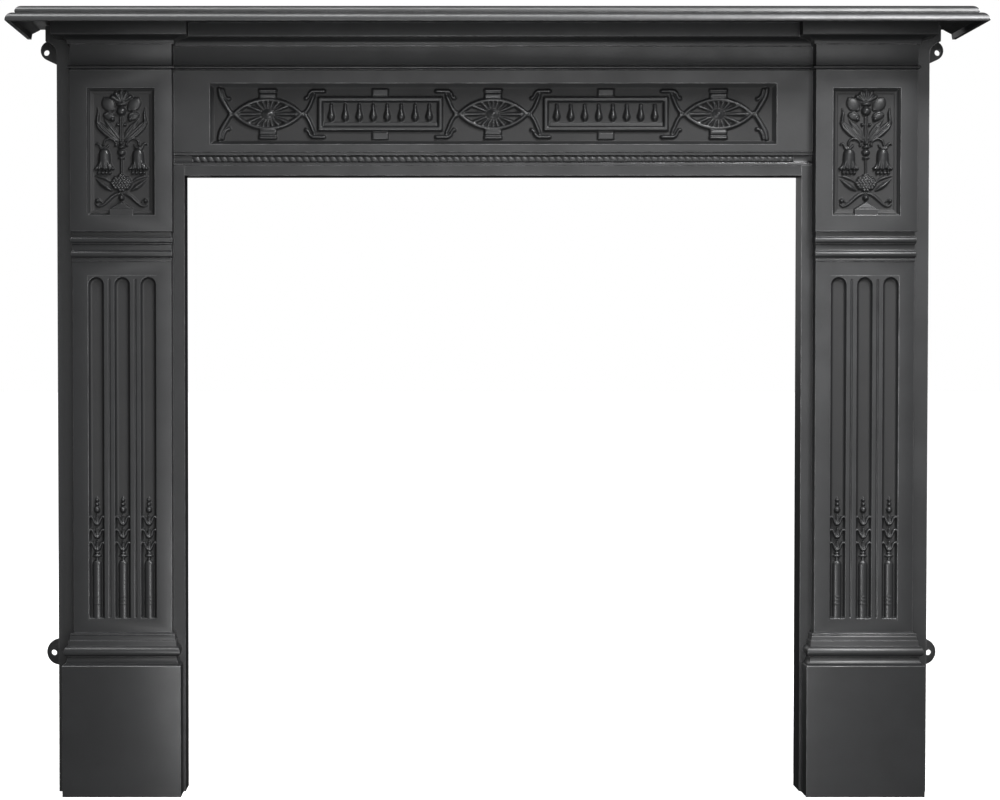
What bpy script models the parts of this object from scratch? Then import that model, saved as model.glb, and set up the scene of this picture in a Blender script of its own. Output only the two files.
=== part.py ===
"""Cast-iron fireplace surround: two fluted jambs and a carved frieze carry a moulded shelf.

Metres, +Z up. The front looks along -Y, the wall is the plane y = WALL_Y, the floor is z = 0,
and the origin is under the middle of the whole surround.
"""

import math

import bmesh
import bpy
from mathutils import Vector

# The hearth opening
OPENING_WIDTH = 0.940
OPENING_HEIGHT = 0.943

# Castings
WALL = 0.007
SOLE = 0.008
GAP = 0.0003
FOOT = 0.0015
STAGGER = 0.00001

# Jamb in plan: margin strips beside a fluted shaft, all measured from the wall
INNER_MARGIN = 0.018
OUTER_MARGIN = 0.026
STRIP_DEPTH = 0.048
SHAFT_WIDTH = 0.150
SHAFT_DEPTH = 0.068
PLINTH_SIDE_STEP = 0.015
PLINTH_FRONT_STEP = 0.022
CAPITAL_SIDE_STEP = 0.002
CAPITAL_FRONT_STEP = 0.008

# Jamb upwards from the floor
PLINTH_HEIGHT = 0.200
BASE_HEIGHT = 0.048
SHAFT_HEIGHT = 0.559
NECK_HEIGHT = 0.049
CAPITAL_HEIGHT = 0.2435
CORNICE_HEIGHT = 0.0712

# Flutes and the reeds that stand in their lower half
FLUTES = 3
FLUTE_WIDTH = 0.0225
FLUTE_DEPTH = 0.007
FLUTE_END = 0.020
SHAFT_EDGE = 0.02425
LAND_GROOVE = 0.0025
REED_WIDTH = 0.0130
REED_TOP = 0.082
REED_RINGS = 3
RING_FOOT = 0.0205
RING_PITCH = 0.0056
HUSKS = 3
HUSK_FOOT = 0.019
HUSK_RISE = 0.0195
HUSK_HALF = 0.0078
HUSK_LENGTH = 0.0175

# Capital panel
PANEL_SIDE = 0.026
PANEL_FOOT = 0.0245
PANEL_HEAD = 0.027
PANEL_FRAME = 0.010
PANEL_SINK = 0.009
RELIEF = 0.0065

# Cornice
CORNICE_REACH = 0.025
FASCIA_HEIGHT = 0.0207
COVE_HEIGHT = 0.012
COVE_FILLET = 0.0034
BEAD_REACH = 0.0042

# Lugs for the wall screws
LUG_THICKNESS = 0.007
LUG_HOLE = 0.009
LUG_LOW = 0.208
LUG_LOW_REACH = 0.0140
LUG_LOW_RADIUS = 0.0203
LUG_LOW_MIDDLE = 0.0045
LUG_HIGH = 0.036
LUG_HIGH_REACH = 0.0222
LUG_HIGH_RADIUS = 0.0150
LUG_HIGH_MIDDLE = 0.0160
LUG_HIGH_SPREAD = 0.0215
STRIP_LIFT = 0.0005
FLARE_DROP = 0.0417
FLARE_RISE = 0.0176
FLARE_REACH = 0.017
FLARE_SWEEP = 60.0
FLARE_STEPS = 4

# Frieze
FRIEZE_DEPTH = 0.052
LIP_HEIGHT = 0.016
ROPE_BAND = 0.019
ROPE_WIDTH = 0.0096
ROPE_TURN = 0.0104
ROPE_HEIGHT = 0.0045
ROPE_SINK = 0.0055
ROPE_END = 0.012
FRIEZE_CORNICE = 0.0692
FRIEZE_PANEL_SIDE = 0.056
FRIEZE_PANEL_FOOT = 0.012
FRIEZE_PANEL_HEAD = 0.019
FRIEZE_FRAME = 0.006
FRIEZE_SINK = 0.008
LENS_LENGTH = 0.1116
LENS_HEIGHT = 0.0506
LENS_RIM = 0.0065
LENS_SHARE = 0.40
LENS_STEPS = 6
TAB_TOP = 0.0375
PETALS = 12
ROSETTE_WIDTH = 0.055
ROSETTE_HEIGHT = 0.033
TABLET_GAP = 0.021
TABLET_HEIGHT = 0.0518
TABLET_BAR = 0.008
DROPS = 8
DROP_WIDTH = 0.0092
DROP_HEIGHT = 0.025
STRAP_WIDTH = 0.0062
STRAP_HEIGHT = 0.0042

# Shelf
SHELF_OVERHANG = 0.053
SHELF_NOSING = 0.089
SHELF_RIM = 0.025
SHELF_PLATE = 0.010
NOSE_HEIGHT = 0.0125
NOSE_STEP = 0.0085
SHELF_SHOULDER = 0.0145
RIM_WALL = 0.008

# Sizes that follow
HALF_SHAFT = SHAFT_WIDTH / 2
HALF_CAPITAL = HALF_SHAFT + CAPITAL_SIDE_STEP
HALF_PLINTH = HALF_SHAFT + PLINTH_SIDE_STEP
CAPITAL_DEPTH = SHAFT_DEPTH + CAPITAL_FRONT_STEP
PLINTH_DEPTH = SHAFT_DEPTH + PLINTH_FRONT_STEP
COLUMN_OFFSET = INNER_MARGIN + HALF_SHAFT
COLUMN_X = OPENING_WIDTH / 2 + COLUMN_OFFSET
STRIP_OUT = HALF_SHAFT + OUTER_MARGIN
SHAFT_FOOT = PLINTH_HEIGHT + BASE_HEIGHT
SHAFT_TOP = SHAFT_FOOT + SHAFT_HEIGHT
CAPITAL_FOOT = SHAFT_TOP + NECK_HEIGHT
CAPITAL_TOP = CAPITAL_FOOT + CAPITAL_HEIGHT
JAMB_TOP = CAPITAL_TOP + CORNICE_HEIGHT
LIP_TOP = OPENING_HEIGHT + LIP_HEIGHT
FIELD_FOOT = LIP_TOP + ROPE_BAND
FIELD_TOP = JAMB_TOP - FRIEZE_CORNICE
FRIEZE_HALF = OPENING_WIDTH / 2 + COLUMN_OFFSET - HALF_CAPITAL - GAP
SHELF_HALF = COLUMN_X + STRIP_OUT + SHELF_OVERHANG
SHELF_DEPTH = CAPITAL_DEPTH + CORNICE_REACH + SHELF_NOSING
SHELF_TOP = JAMB_TOP + GAP + SHELF_PLATE
WALL_Y = SHELF_DEPTH / 2

# The carved panel's own drawing: millimetres from its middle line and from its foot
DRAWING_HALF = 51.0
DRAWING_HEIGHT = 192.0


def clear_scene():
    """Removes what the scene holds."""
    for old in list(bpy.data.objects):
        bpy.data.objects.remove(old, do_unlink=True)


def iron(name, colour, roughness):
    """A dark, slightly burnished cast iron."""
    material = bpy.data.materials.new(name)
    material.use_nodes = True
    shader = material.node_tree.nodes["Principled BSDF"]
    shader.inputs["Base Color"].default_value = (*colour, 1.0)
    shader.inputs["Roughness"].default_value = roughness
    shader.inputs["Metallic"].default_value = 0.6
    return material


def add_loft(bm, rings, loop=False):
    """Skins a row of rings of (across, out, up) points; a ring of one point is a tip."""
    made = [[bm.verts.new((across, -out, up)) for across, out, up in ring] for ring in rings]
    following = made[1:] + made[:1] if loop else made[1:]
    for ring, after in zip(made, following):
        count = max(len(ring), len(after))
        for i in range(count):
            j = (i + 1) % count
            if len(ring) == 1:
                bm.faces.new((ring[0], after[i], after[j]))
            elif len(after) == 1:
                bm.faces.new((ring[i], ring[j], after[0]))
            else:
                bm.faces.new((ring[i], ring[j], after[j], after[i]))
    if not loop:
        for end in (made[0], made[-1]):
            if len(end) > 2:
                bm.faces.new(end)


def make_object(name, bm, place=(0.0, 0.0, 0.0), side=1):
    """Turns a bmesh into an object, with its faces pointing out. A side of -1 mirrors it."""
    bmesh.ops.recalc_face_normals(bm, faces=bm.faces)
    bm.normal_update()
    bmesh.ops.triangulate(bm, faces=bm.faces)
    mesh = bpy.data.meshes.new(name)
    bm.to_mesh(mesh)
    bm.free()
    obj = bpy.data.objects.new(name, mesh)
    obj.location = place
    obj.scale.x = side
    bpy.context.scene.collection.objects.link(obj)
    return obj


def combine(obj, other, operation):
    """Unites obj with a hidden helper, or cuts the helper out of it."""
    other.hide_render = True
    other.display_type = "WIRE"
    modifier = obj.modifiers.new(other.name, "BOOLEAN")
    modifier.operation = operation
    modifier.solver = "MANIFOLD"
    modifier.object = other


def rectangle(left, right, back, front, up):
    """A level rectangle, seen from above."""
    return [(left, back, up), (right, back, up), (right, front, up), (left, front, up)]


def add_box(bm, left, right, back, front, low, high):
    """A plain block between the six given planes."""
    add_loft(bm, [rectangle(left, right, back, front, up) for up in (low, high)])


def arc(start, end, steps, bulge):
    """Points of a quarter round from start to end; bulge 1 swells out first, -1 hollows."""
    points = []
    for step in range(1, steps + 1):
        angle = math.pi / 2 * step / steps
        rise, reach = (math.sin(angle), 1 - math.cos(angle))
        if bulge > 0:
            rise, reach = (reach, rise)
        points.append((start[0] + (end[0] - start[0]) * rise, start[1] + (end[1] - start[1]) * reach))
    return points


def cornice_profile(foot, top):
    """(up, reach) points of the cornice, from its astragal's foot to the flat under the shelf."""
    profile = [(foot, 0.0), (foot + 0.0004, -BEAD_REACH / 4), (foot + 0.0014, -BEAD_REACH / 4)]
    profile.append((foot + 0.0024, BEAD_REACH))
    profile += [(foot + 0.0055, BEAD_REACH), (foot + 0.0068, 0.0)]
    band_top = top - FASCIA_HEIGHT - COVE_HEIGHT
    profile += [(band_top, 0.0), (band_top + 0.0004, COVE_FILLET), (band_top + 0.0028, COVE_FILLET)]
    fascia_foot = top - FASCIA_HEIGHT
    profile += arc(profile[-1], (fascia_foot - 0.0012, CORNICE_REACH - 0.0050), 2, -1)
    profile += [(fascia_foot, CORNICE_REACH), (top, CORNICE_REACH)]
    return profile


def column_levels():
    """(up, half width, depth) of the column from the floor to the flat under the shelf."""

    def at_base(rise, share):
        return (
            PLINTH_HEIGHT + rise * BASE_HEIGHT,
            HALF_SHAFT + PLINTH_SIDE_STEP * share,
            SHAFT_DEPTH + PLINTH_FRONT_STEP * share,
        )

    def at_neck(rise, share):
        return (
            SHAFT_TOP + rise * NECK_HEIGHT,
            HALF_SHAFT + CAPITAL_SIDE_STEP * share,
            SHAFT_DEPTH + CAPITAL_FRONT_STEP * share,
        )

    levels = [(0.0, HALF_PLINTH, PLINTH_DEPTH), at_base(0.0, 1.0)]
    base = ((0.20, 0.56), (0.26, 0.78), (0.38, 0.87), (0.53, 0.76), (0.58, 0.52))
    base += ((0.77, 0.50), (0.79, 0.34), (0.99, 0.28), (1.0, 0.0))
    levels += [at_base(rise, share) for rise, share in base]
    neck = ((0.08, 0.0), (0.09, 0.28), (0.17, 0.25), (0.24, 0.66), (0.38, 0.66))
    neck += ((0.44, 0.24), (0.60, 0.30), (0.66, 0.80), (0.80, 0.80), (0.84, 0.10), (0.99, 0.10), (1.0, 1.0))
    levels += [at_neck(rise, share) for rise, share in neck]
    for up, reach in cornice_profile(CAPITAL_TOP, JAMB_TOP):
        levels.append((up, HALF_CAPITAL + reach, CAPITAL_DEPTH + reach))
    return levels


def strip_outline():
    """(across, up) outline of the slab at the wall: both margin strips and what joins them.

    The outer strip flares out under the cornice in a hollow curve.
    """
    behind = HALF_CAPITAL - 0.001
    head = JAMB_TOP - 0.0005
    outline = [(-COLUMN_OFFSET, STRIP_LIFT), (STRIP_OUT, STRIP_LIFT)]
    sweep = math.radians(FLARE_SWEEP)
    for step in range(FLARE_STEPS + 1):
        angle = sweep * step / FLARE_STEPS
        across = STRIP_OUT + FLARE_REACH * (1 - math.cos(angle)) / (1 - math.cos(sweep))
        outline.append((across, JAMB_TOP - FLARE_DROP + FLARE_RISE * math.sin(angle) / math.sin(sweep)))
    outline += [(STRIP_OUT + FLARE_REACH, head), (-behind, head)]
    outline += [(-behind, LIP_TOP - GAP), (-COLUMN_OFFSET, LIP_TOP - GAP)]
    return outline


def add_column(bm, levels, ease=0.0, back=0.012):
    """The moulded column as one loft, each moulding returned round both sides."""
    rings = [rectangle(-half - ease, half + ease, back, depth + ease, up) for up, half, depth in levels]
    add_loft(bm, rings)


def lug_arc(middle, up, radius, start, end, steps):
    """(across, up) points of a lug's round edge, between two angles in degrees."""
    points = []
    for step in range(steps + 1):
        angle = math.radians(start + (end - start) * step / steps)
        points.append((STRIP_OUT + middle + radius * math.cos(angle), up + radius * math.sin(angle)))
    return points


def low_lug_outline():
    """The ear beside the plinth, one round that runs into the strip's edge above and below."""
    return lug_arc(LUG_LOW_MIDDLE, LUG_LOW + 0.0015, LUG_LOW_RADIUS, -117, 117, 9)


def high_lug_outline():
    """The ear under the flare, straight below and lost in the flare above."""
    up = JAMB_TOP - LUG_HIGH
    root = STRIP_OUT - 0.004
    round_edge = lug_arc(LUG_HIGH_MIDDLE, up + 0.003, LUG_HIGH_RADIUS, -66, 90, 6)
    return [(root, up - LUG_HIGH_SPREAD), *round_edge, (root, round_edge[-1][1])]


def add_lug(bm, outline):
    """A flat ear near the wall, outside the strip's edge."""
    add_loft(bm, [[(across, out, up) for across, up in outline] for out in (0.0004, LUG_THICKNESS)])


def add_lug_hole(bm, reach, up):
    """The screw hole through a lug."""
    middle = STRIP_OUT + reach
    ring = [(math.cos(math.tau * i / 8), math.sin(math.tau * i / 8)) for i in range(8)]
    radius = LUG_HOLE / 2
    rings = []
    for out in (-0.002, LUG_THICKNESS + 0.002):
        rings.append([(middle + radius * c, out, up + radius * s) for c, s in ring])
    add_loft(bm, rings)


def flute_places():
    """The flutes' middle lines across the shaft."""
    first = HALF_SHAFT - SHAFT_EDGE - FLUTE_WIDTH / 2
    return [first - 2 * first * i / (FLUTES - 1) for i in range(FLUTES)]


def add_flute(bm, middle):
    """A flute's hollow: rounded sides and a flat back, round at its head and square at its foot."""
    radius = FLUTE_WIDTH / 2
    foot = SHAFT_FOOT + FLUTE_END
    head = SHAFT_TOP - FLUTE_END - radius
    section = [(-1.0, -0.004), (-1.0, 0.0), (-0.90, FLUTE_DEPTH * 0.6), (-0.73, FLUTE_DEPTH)]
    section += [(-across, sink) for across, sink in reversed(section)]
    rings = []
    for up, share in ((foot, 1.0), (head, 1.0), (head + radius * 0.6, 0.8), (head + radius * 0.95, 0.3)):
        rings.append([(middle + radius * share * across, SHAFT_DEPTH - sink * share, up) for across, sink in section])
    add_loft(bm, rings)


def add_groove(bm, middle, foot, head):
    """A narrow V between two flutes."""
    half = LAND_GROOVE / 2
    wedge = [(-half, 0.0005), (half, 0.0005), (0.0, -half)]
    add_loft(bm, [[(middle + a, SHAFT_DEPTH + d, up) for a, d in wedge] for up in (foot, head)])


class Relief:
    """Low relief on a flat ground, each piece let into the ground a hair deeper than the last."""

    def __init__(self, bm, ground):
        self.bm = bm
        self.ground = ground
        self.pieces = 0

    def foot(self):
        """The depth of the next piece's underside."""
        self.pieces += 1
        return self.ground - FOOT - STAGGER * self.pieces

    def dome(self, spot, size, height, sides=6, tiers=((1.0, None), (0.74, 0.7))):
        """An oval boss: spot is its middle, size its half width and half height."""
        rings = []
        for share, rise in tiers:
            out = self.foot() if rise is None else self.ground + height * rise
            ring = []
            for i in range(sides):
                angle = math.tau * (i + 0.5) / sides
                across = spot[0] + size[0] * share * math.cos(angle)
                ring.append((across, out, spot[1] + size[1] * share * math.sin(angle)))
            rings.append(ring)
        rings.append([(spot[0], self.ground + height, spot[1])])
        add_loft(self.bm, rings)

    def ridge(self, path, widths, height, loop=False):
        """A ridged stroke along (across, up) points; a width of 0 ends it in a point."""
        foot = self.foot()
        rings = []
        count = len(path)
        for i, (here, width) in enumerate(zip(path, widths)):
            before = path[(i - 1) % count] if loop or i else here
            after = path[(i + 1) % count] if loop or i < count - 1 else here
            along = Vector((after[0] - before[0], after[1] - before[1])).normalized()
            side = Vector((-along.y, along.x)) * (width / 2)
            if width == 0:
                rings.append([(here[0], foot, here[1])])
                continue
            ring = [(here[0] + side.x, foot, here[1] + side.y), (here[0] - side.x, foot, here[1] - side.y)]
            rings.append([*ring, (here[0], self.ground + height, here[1])])
        add_loft(self.bm, rings, loop)

    def tablet(self, outline, height, shrink=0.85):
        """A flat-topped piece of the given outline, drawn in towards its own middle at the top."""
        foot = self.foot()
        middle_x = sum(point[0] for point in outline) / len(outline)
        middle_z = sum(point[1] for point in outline) / len(outline)
        top = [(middle_x + (x - middle_x) * shrink, middle_z + (z - middle_z) * shrink) for x, z in outline]
        low = [(x, foot, z) for x, z in outline]
        add_loft(self.bm, [low, [(x, self.ground + height, z) for x, z in top]])

    def husk(self, middle, up, height):
        """A bell-shaped husk with three points and a keel down its middle."""
        foot = self.foot()
        outline = ((0.0, 0.0), (HUSK_HALF, 0.71), (0.0035, 0.62), (0.0, 1.0), (-0.0035, 0.62), (-HUSK_HALF, 0.71))
        low = [self.bm.verts.new((middle + across, -foot, up + HUSK_LENGTH * rise)) for across, rise in outline]
        keel = [self.bm.verts.new((middle, -(self.ground + height), up + HUSK_LENGTH * rise)) for rise in (0.12, 0.85)]
        self.bm.faces.new(low)
        for i, top in ((0, keel), (1, keel[1:]), (2, keel[1:]), (3, keel[1:]), (4, keel[1:]), (5, keel[::-1])):
            self.bm.faces.new((low[i], low[(i + 1) % 6], *reversed(top)))

    def block(self, left, right, low, high, height):
        """A raised block with sloped sides."""
        self.tablet([(left, low), (right, low), (right, high), (left, high)], height)


def add_reed(bm, middle):
    """The reed in a flute's lower half: rings, a domed cap and a chain of husks above it."""
    relief = Relief(bm, SHAFT_DEPTH - FLUTE_DEPTH)
    foot = SHAFT_FOOT + FLUTE_END
    cap = foot + REED_TOP
    half = REED_WIDTH / 2
    spindle = [(foot + 0.001, 1.0)]
    for i in range(REED_RINGS):
        ring = foot + RING_FOOT + RING_PITCH * i
        spindle += [(ring - RING_PITCH / 2, 0.92), (ring, 1.2)]
    spindle += [(spindle[-1][0] + RING_PITCH / 2, 1.0), (cap - half, 1.0), (cap, 0.35)]
    under = relief.foot()
    rings = []
    for up, share in spindle:
        wide = half * share
        out = relief.ground + FLUTE_DEPTH * (0.35 + 0.55 * share)
        ring = [(middle - wide, under, up), (middle + wide, under, up)]
        rings.append([*ring, (middle + wide * 0.5, out, up), (middle - wide * 0.5, out, up)])
    add_loft(bm, rings)
    for i in range(HUSKS):
        up = cap + HUSK_FOOT + HUSK_RISE * i
        relief.husk(middle, up, FLUTE_DEPTH * 0.8)
    up = cap + HUSK_FOOT + HUSK_RISE * HUSKS
    relief.ridge([(middle, up), (middle, up + 0.0055), (middle, up + 0.0170)], (0, REED_WIDTH * 0.7, 0), 0.0055)


class CarvedPanel(Relief):
    """The upright carved panel of a capital, drawn in millimetres on its own grid."""

    def __init__(self, bm):
        super().__init__(bm, CAPITAL_DEPTH - PANEL_SINK)
        self.low = CAPITAL_FOOT + PANEL_FOOT
        self.wide = (HALF_CAPITAL - PANEL_SIDE) / DRAWING_HALF
        self.tall = (CAPITAL_HEIGHT - PANEL_FOOT - PANEL_HEAD) / DRAWING_HEIGHT

    def spot(self, across, up):
        """A place of the drawing on the panel."""
        return (across * self.wide, self.low + up * self.tall)

    def boss(self, across, up, half_width, half_height, height=1.0):
        """An oval boss."""
        self.dome(self.spot(across, up), (half_width * self.wide, half_height * self.tall), RELIEF * height)

    def bead(self, across, up, radius, height=0.85):
        """A small round bead."""
        size = (radius * self.wide, radius * self.tall)
        self.dome(self.spot(across, up), size, RELIEF * height, sides=5, tiers=((1.0, None),))

    def stroke(self, points, widths, height=0.7):
        """A ridged leaf or stem through the drawing's points."""
        path = [self.spot(across, up) for across, up in points]
        self.ridge(path, [width * self.wide for width in widths], RELIEF * height)

    def carve(self):
        """The whole candelabrum, from its pedestal to its crown."""
        foot = [(-18, -1.5), (18, -1.5), (18, 10), (0, 20), (-18, 10)]
        self.tablet([self.spot(*point) for point in foot], PANEL_SINK - 0.0006, 0.96)
        self.boss(0, 27.0, 4.4, 4.6)
        for row, count in enumerate((2, 3, 2)):
            for i in range(count):
                self.bead((i - (count - 1) / 2) * 8.6, 39.5 + row * 7.4, 4.0)
        self.stroke([(0, 62), (0, 82)], (3.4, 3.4), 0.5)
        self.boss(0, 86.4, 5.2, 2.4, 0.8)
        self.boss(0, 95.0, 6.4, 4.6, 0.9)
        self.boss(0, 104.6, 5.8, 3.4)
        self.stroke([(0, 110), (0, 149)], (4.0, 3.4), 0.6)
        self.boss(0, 157.7, 7.2, 7.0)
        self.boss(0, 168.5, 8.6, 2.8, 0.9)
        for lean in (-1, 0, 1):
            self.stroke([(lean * 4, 172.5), (lean * 11, 180), (lean * 15, 189 - abs(lean) * 4)], (0, 7, 0), 0.8)
        for side in (-1, 1):
            self.leaves(side)
            self.bell(side)
            self.boss(side * 19.5, 168.0, 9.5, 9.5, 0.7)
            self.boss(side * 17.5, 149.0, 8.0, 6.0, 0.8)

    def leaves(self, side):
        """One side's leaves, from the great blade to the scrolled leg."""
        strokes = (
            ([(5, 114), (21, 126), (36, 139), (39, 151), (37, 165)], (0, 11, 12, 6, 0), 0.8),
            ([(6, 122), (15, 132), (25, 142)], (0, 9, 0), 0.6),
            ([(7, 68), (10, 86), (14, 101)], (0, 8, 0), 0.5),
            ([(18, 54), (29, 58), (40, 59)], (0, 7, 0), 0.6),
            ([(17, 42), (27, 46), (38, 52)], (0, 8, 0), 0.7),
            ([(6, 32), (16, 26), (26, 18), (33, 14.5)], (5, 7, 6, 4), 0.6),
        )
        for points, widths, height in strokes:
            self.stroke([(side * across, up) for across, up in points], widths, height)
        self.bead(side * 37.0, 21.0, 3.4)

    def bell(self, side):
        """A bell flower hanging from its arched stem."""
        arch = [(9, 104), (12, 112.5), (19, 116), (25, 111)]
        self.stroke([(side * across, up) for across, up in arch], (3, 3.4, 3.4, 3), 0.6)
        for lean in (-1, 1):
            points = [(26 + lean * 2, 104), (26 + lean * 7, 108.5), (26 + lean * 12, 107)]
            self.stroke([(side * across, up) for across, up in points], (0, 4.5, 0), 0.7)
        self.stroke([(side * 26, 102), (side * 26, 93), (side * 26, 70)], (0, 14, 23), 0.95)
        self.stroke([(side * 16, 65), (side * 36, 65)], (4, 4), 0.5)


def jamb_cavity():
    """The hollow behind a jamb: (up, half width, depth) levels one wall inside the outer form."""
    flute = SHAFT_DEPTH - FLUTE_DEPTH - WALL
    panel = CAPITAL_DEPTH - PANEL_SINK - WALL
    return (
        (SOLE, HALF_PLINTH - WALL, PLINTH_DEPTH - WALL),
        (PLINTH_HEIGHT - WALL, HALF_PLINTH - WALL, PLINTH_DEPTH - WALL),
        (SHAFT_FOOT, HALF_SHAFT - WALL, flute),
        (SHAFT_TOP, HALF_SHAFT - WALL, flute),
        (CAPITAL_FOOT + WALL, HALF_CAPITAL - WALL, panel),
        (JAMB_TOP - WALL, HALF_CAPITAL - WALL, panel),
    )


def build_jamb(name, side, material):
    """One jamb. side is -1 at the viewer's left and 1 at the right."""
    place = (side * COLUMN_X, WALL_Y, 0.0)

    def helper(label, bm):
        return make_object(f"{name}_{label}", bm, place, side)

    bm = bmesh.new()
    add_column(bm, column_levels())
    jamb = helper("column", bm)
    jamb.name = name
    jamb.data.materials.append(material)

    bm = bmesh.new()
    outline = strip_outline()
    add_loft(bm, [[(across, out, up) for across, up in outline] for out in (0.0, STRIP_DEPTH)])
    combine(jamb, helper("strips", bm), "UNION")

    bm = bmesh.new()
    add_lug(bm, low_lug_outline())
    add_lug(bm, high_lug_outline())
    combine(jamb, helper("lugs", bm), "UNION")

    bm = bmesh.new()
    add_loft(bm, [rectangle(-half, half, -0.004, depth, up) for up, half, depth in jamb_cavity()])
    combine(jamb, helper("cavity", bm), "DIFFERENCE")

    bm = bmesh.new()
    inner, outer = WALL - COLUMN_OFFSET, STRIP_OUT - WALL
    inner_top, outer_top = LIP_TOP - GAP - WALL, JAMB_TOP - WALL - 0.0015
    step = WALL - HALF_CAPITAL + 0.001
    foot = SOLE + 0.001
    outline = [(inner, foot), (outer, foot), (outer, outer_top), (step, outer_top), (step, inner_top), (inner, inner_top)]
    add_loft(bm, [[(across, out, up) for across, up in outline] for out in (-0.005, STRIP_DEPTH - WALL)])
    add_lug_hole(bm, LUG_LOW_REACH, LUG_LOW)
    add_lug_hole(bm, LUG_HIGH_REACH, JAMB_TOP - LUG_HIGH)
    combine(jamb, helper("hollow", bm), "DIFFERENCE")

    bm = bmesh.new()
    places = flute_places()
    for middle in places:
        add_flute(bm, middle)
    for left, right in zip(places, places[1:]):
        add_groove(bm, (left + right) / 2, SHAFT_FOOT + FLUTE_END, SHAFT_TOP - FLUTE_END)
    panel_half = HALF_CAPITAL - PANEL_SIDE
    low, high = CAPITAL_FOOT + PANEL_FOOT, CAPITAL_TOP - PANEL_HEAD
    rings = []
    for inset, sink in ((-0.0005, -0.002), (0.0, 0.0), (0.25, 0.45), (0.6, 0.5), (1.0, 1.0)):
        shift = PANEL_FRAME * inset
        outline = [
            (-panel_half + shift, low + shift),
            (panel_half - shift, low + shift),
            (panel_half - shift, high - shift),
            (-panel_half + shift, high - shift),
        ]
        out = CAPITAL_DEPTH - PANEL_SINK * sink if sink >= 0 else CAPITAL_DEPTH - sink
        rings.append([(across, out, up) for across, up in outline])
    add_loft(bm, rings)
    combine(jamb, helper("flutes", bm), "DIFFERENCE")

    bm = bmesh.new()
    for middle in places:
        add_reed(bm, middle)
    CarvedPanel(bm).carve()
    combine(jamb, helper("carving", bm), "UNION")
    return jamb


def frieze_section():
    """(out, up) outline of the frieze from the lip at the opening to the flat under the shelf."""
    outline = [(0.0, OPENING_HEIGHT), (STRIP_DEPTH, OPENING_HEIGHT), (STRIP_DEPTH, LIP_TOP + 0.0035)]
    rope_back = FRIEZE_DEPTH - ROPE_SINK
    outline += [(rope_back, LIP_TOP + 0.0040), (rope_back, FIELD_FOOT - 0.0045)]
    outline += [(FRIEZE_DEPTH - 0.0020, FIELD_FOOT - 0.0040), (FRIEZE_DEPTH - 0.0020, FIELD_FOOT)]
    outline += [(FRIEZE_DEPTH, FIELD_FOOT + 0.0006)]
    outline += [(FRIEZE_DEPTH + reach, up) for up, reach in cornice_profile(FIELD_TOP, JAMB_TOP)]
    outline.append((0.0, JAMB_TOP))
    return outline


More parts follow.
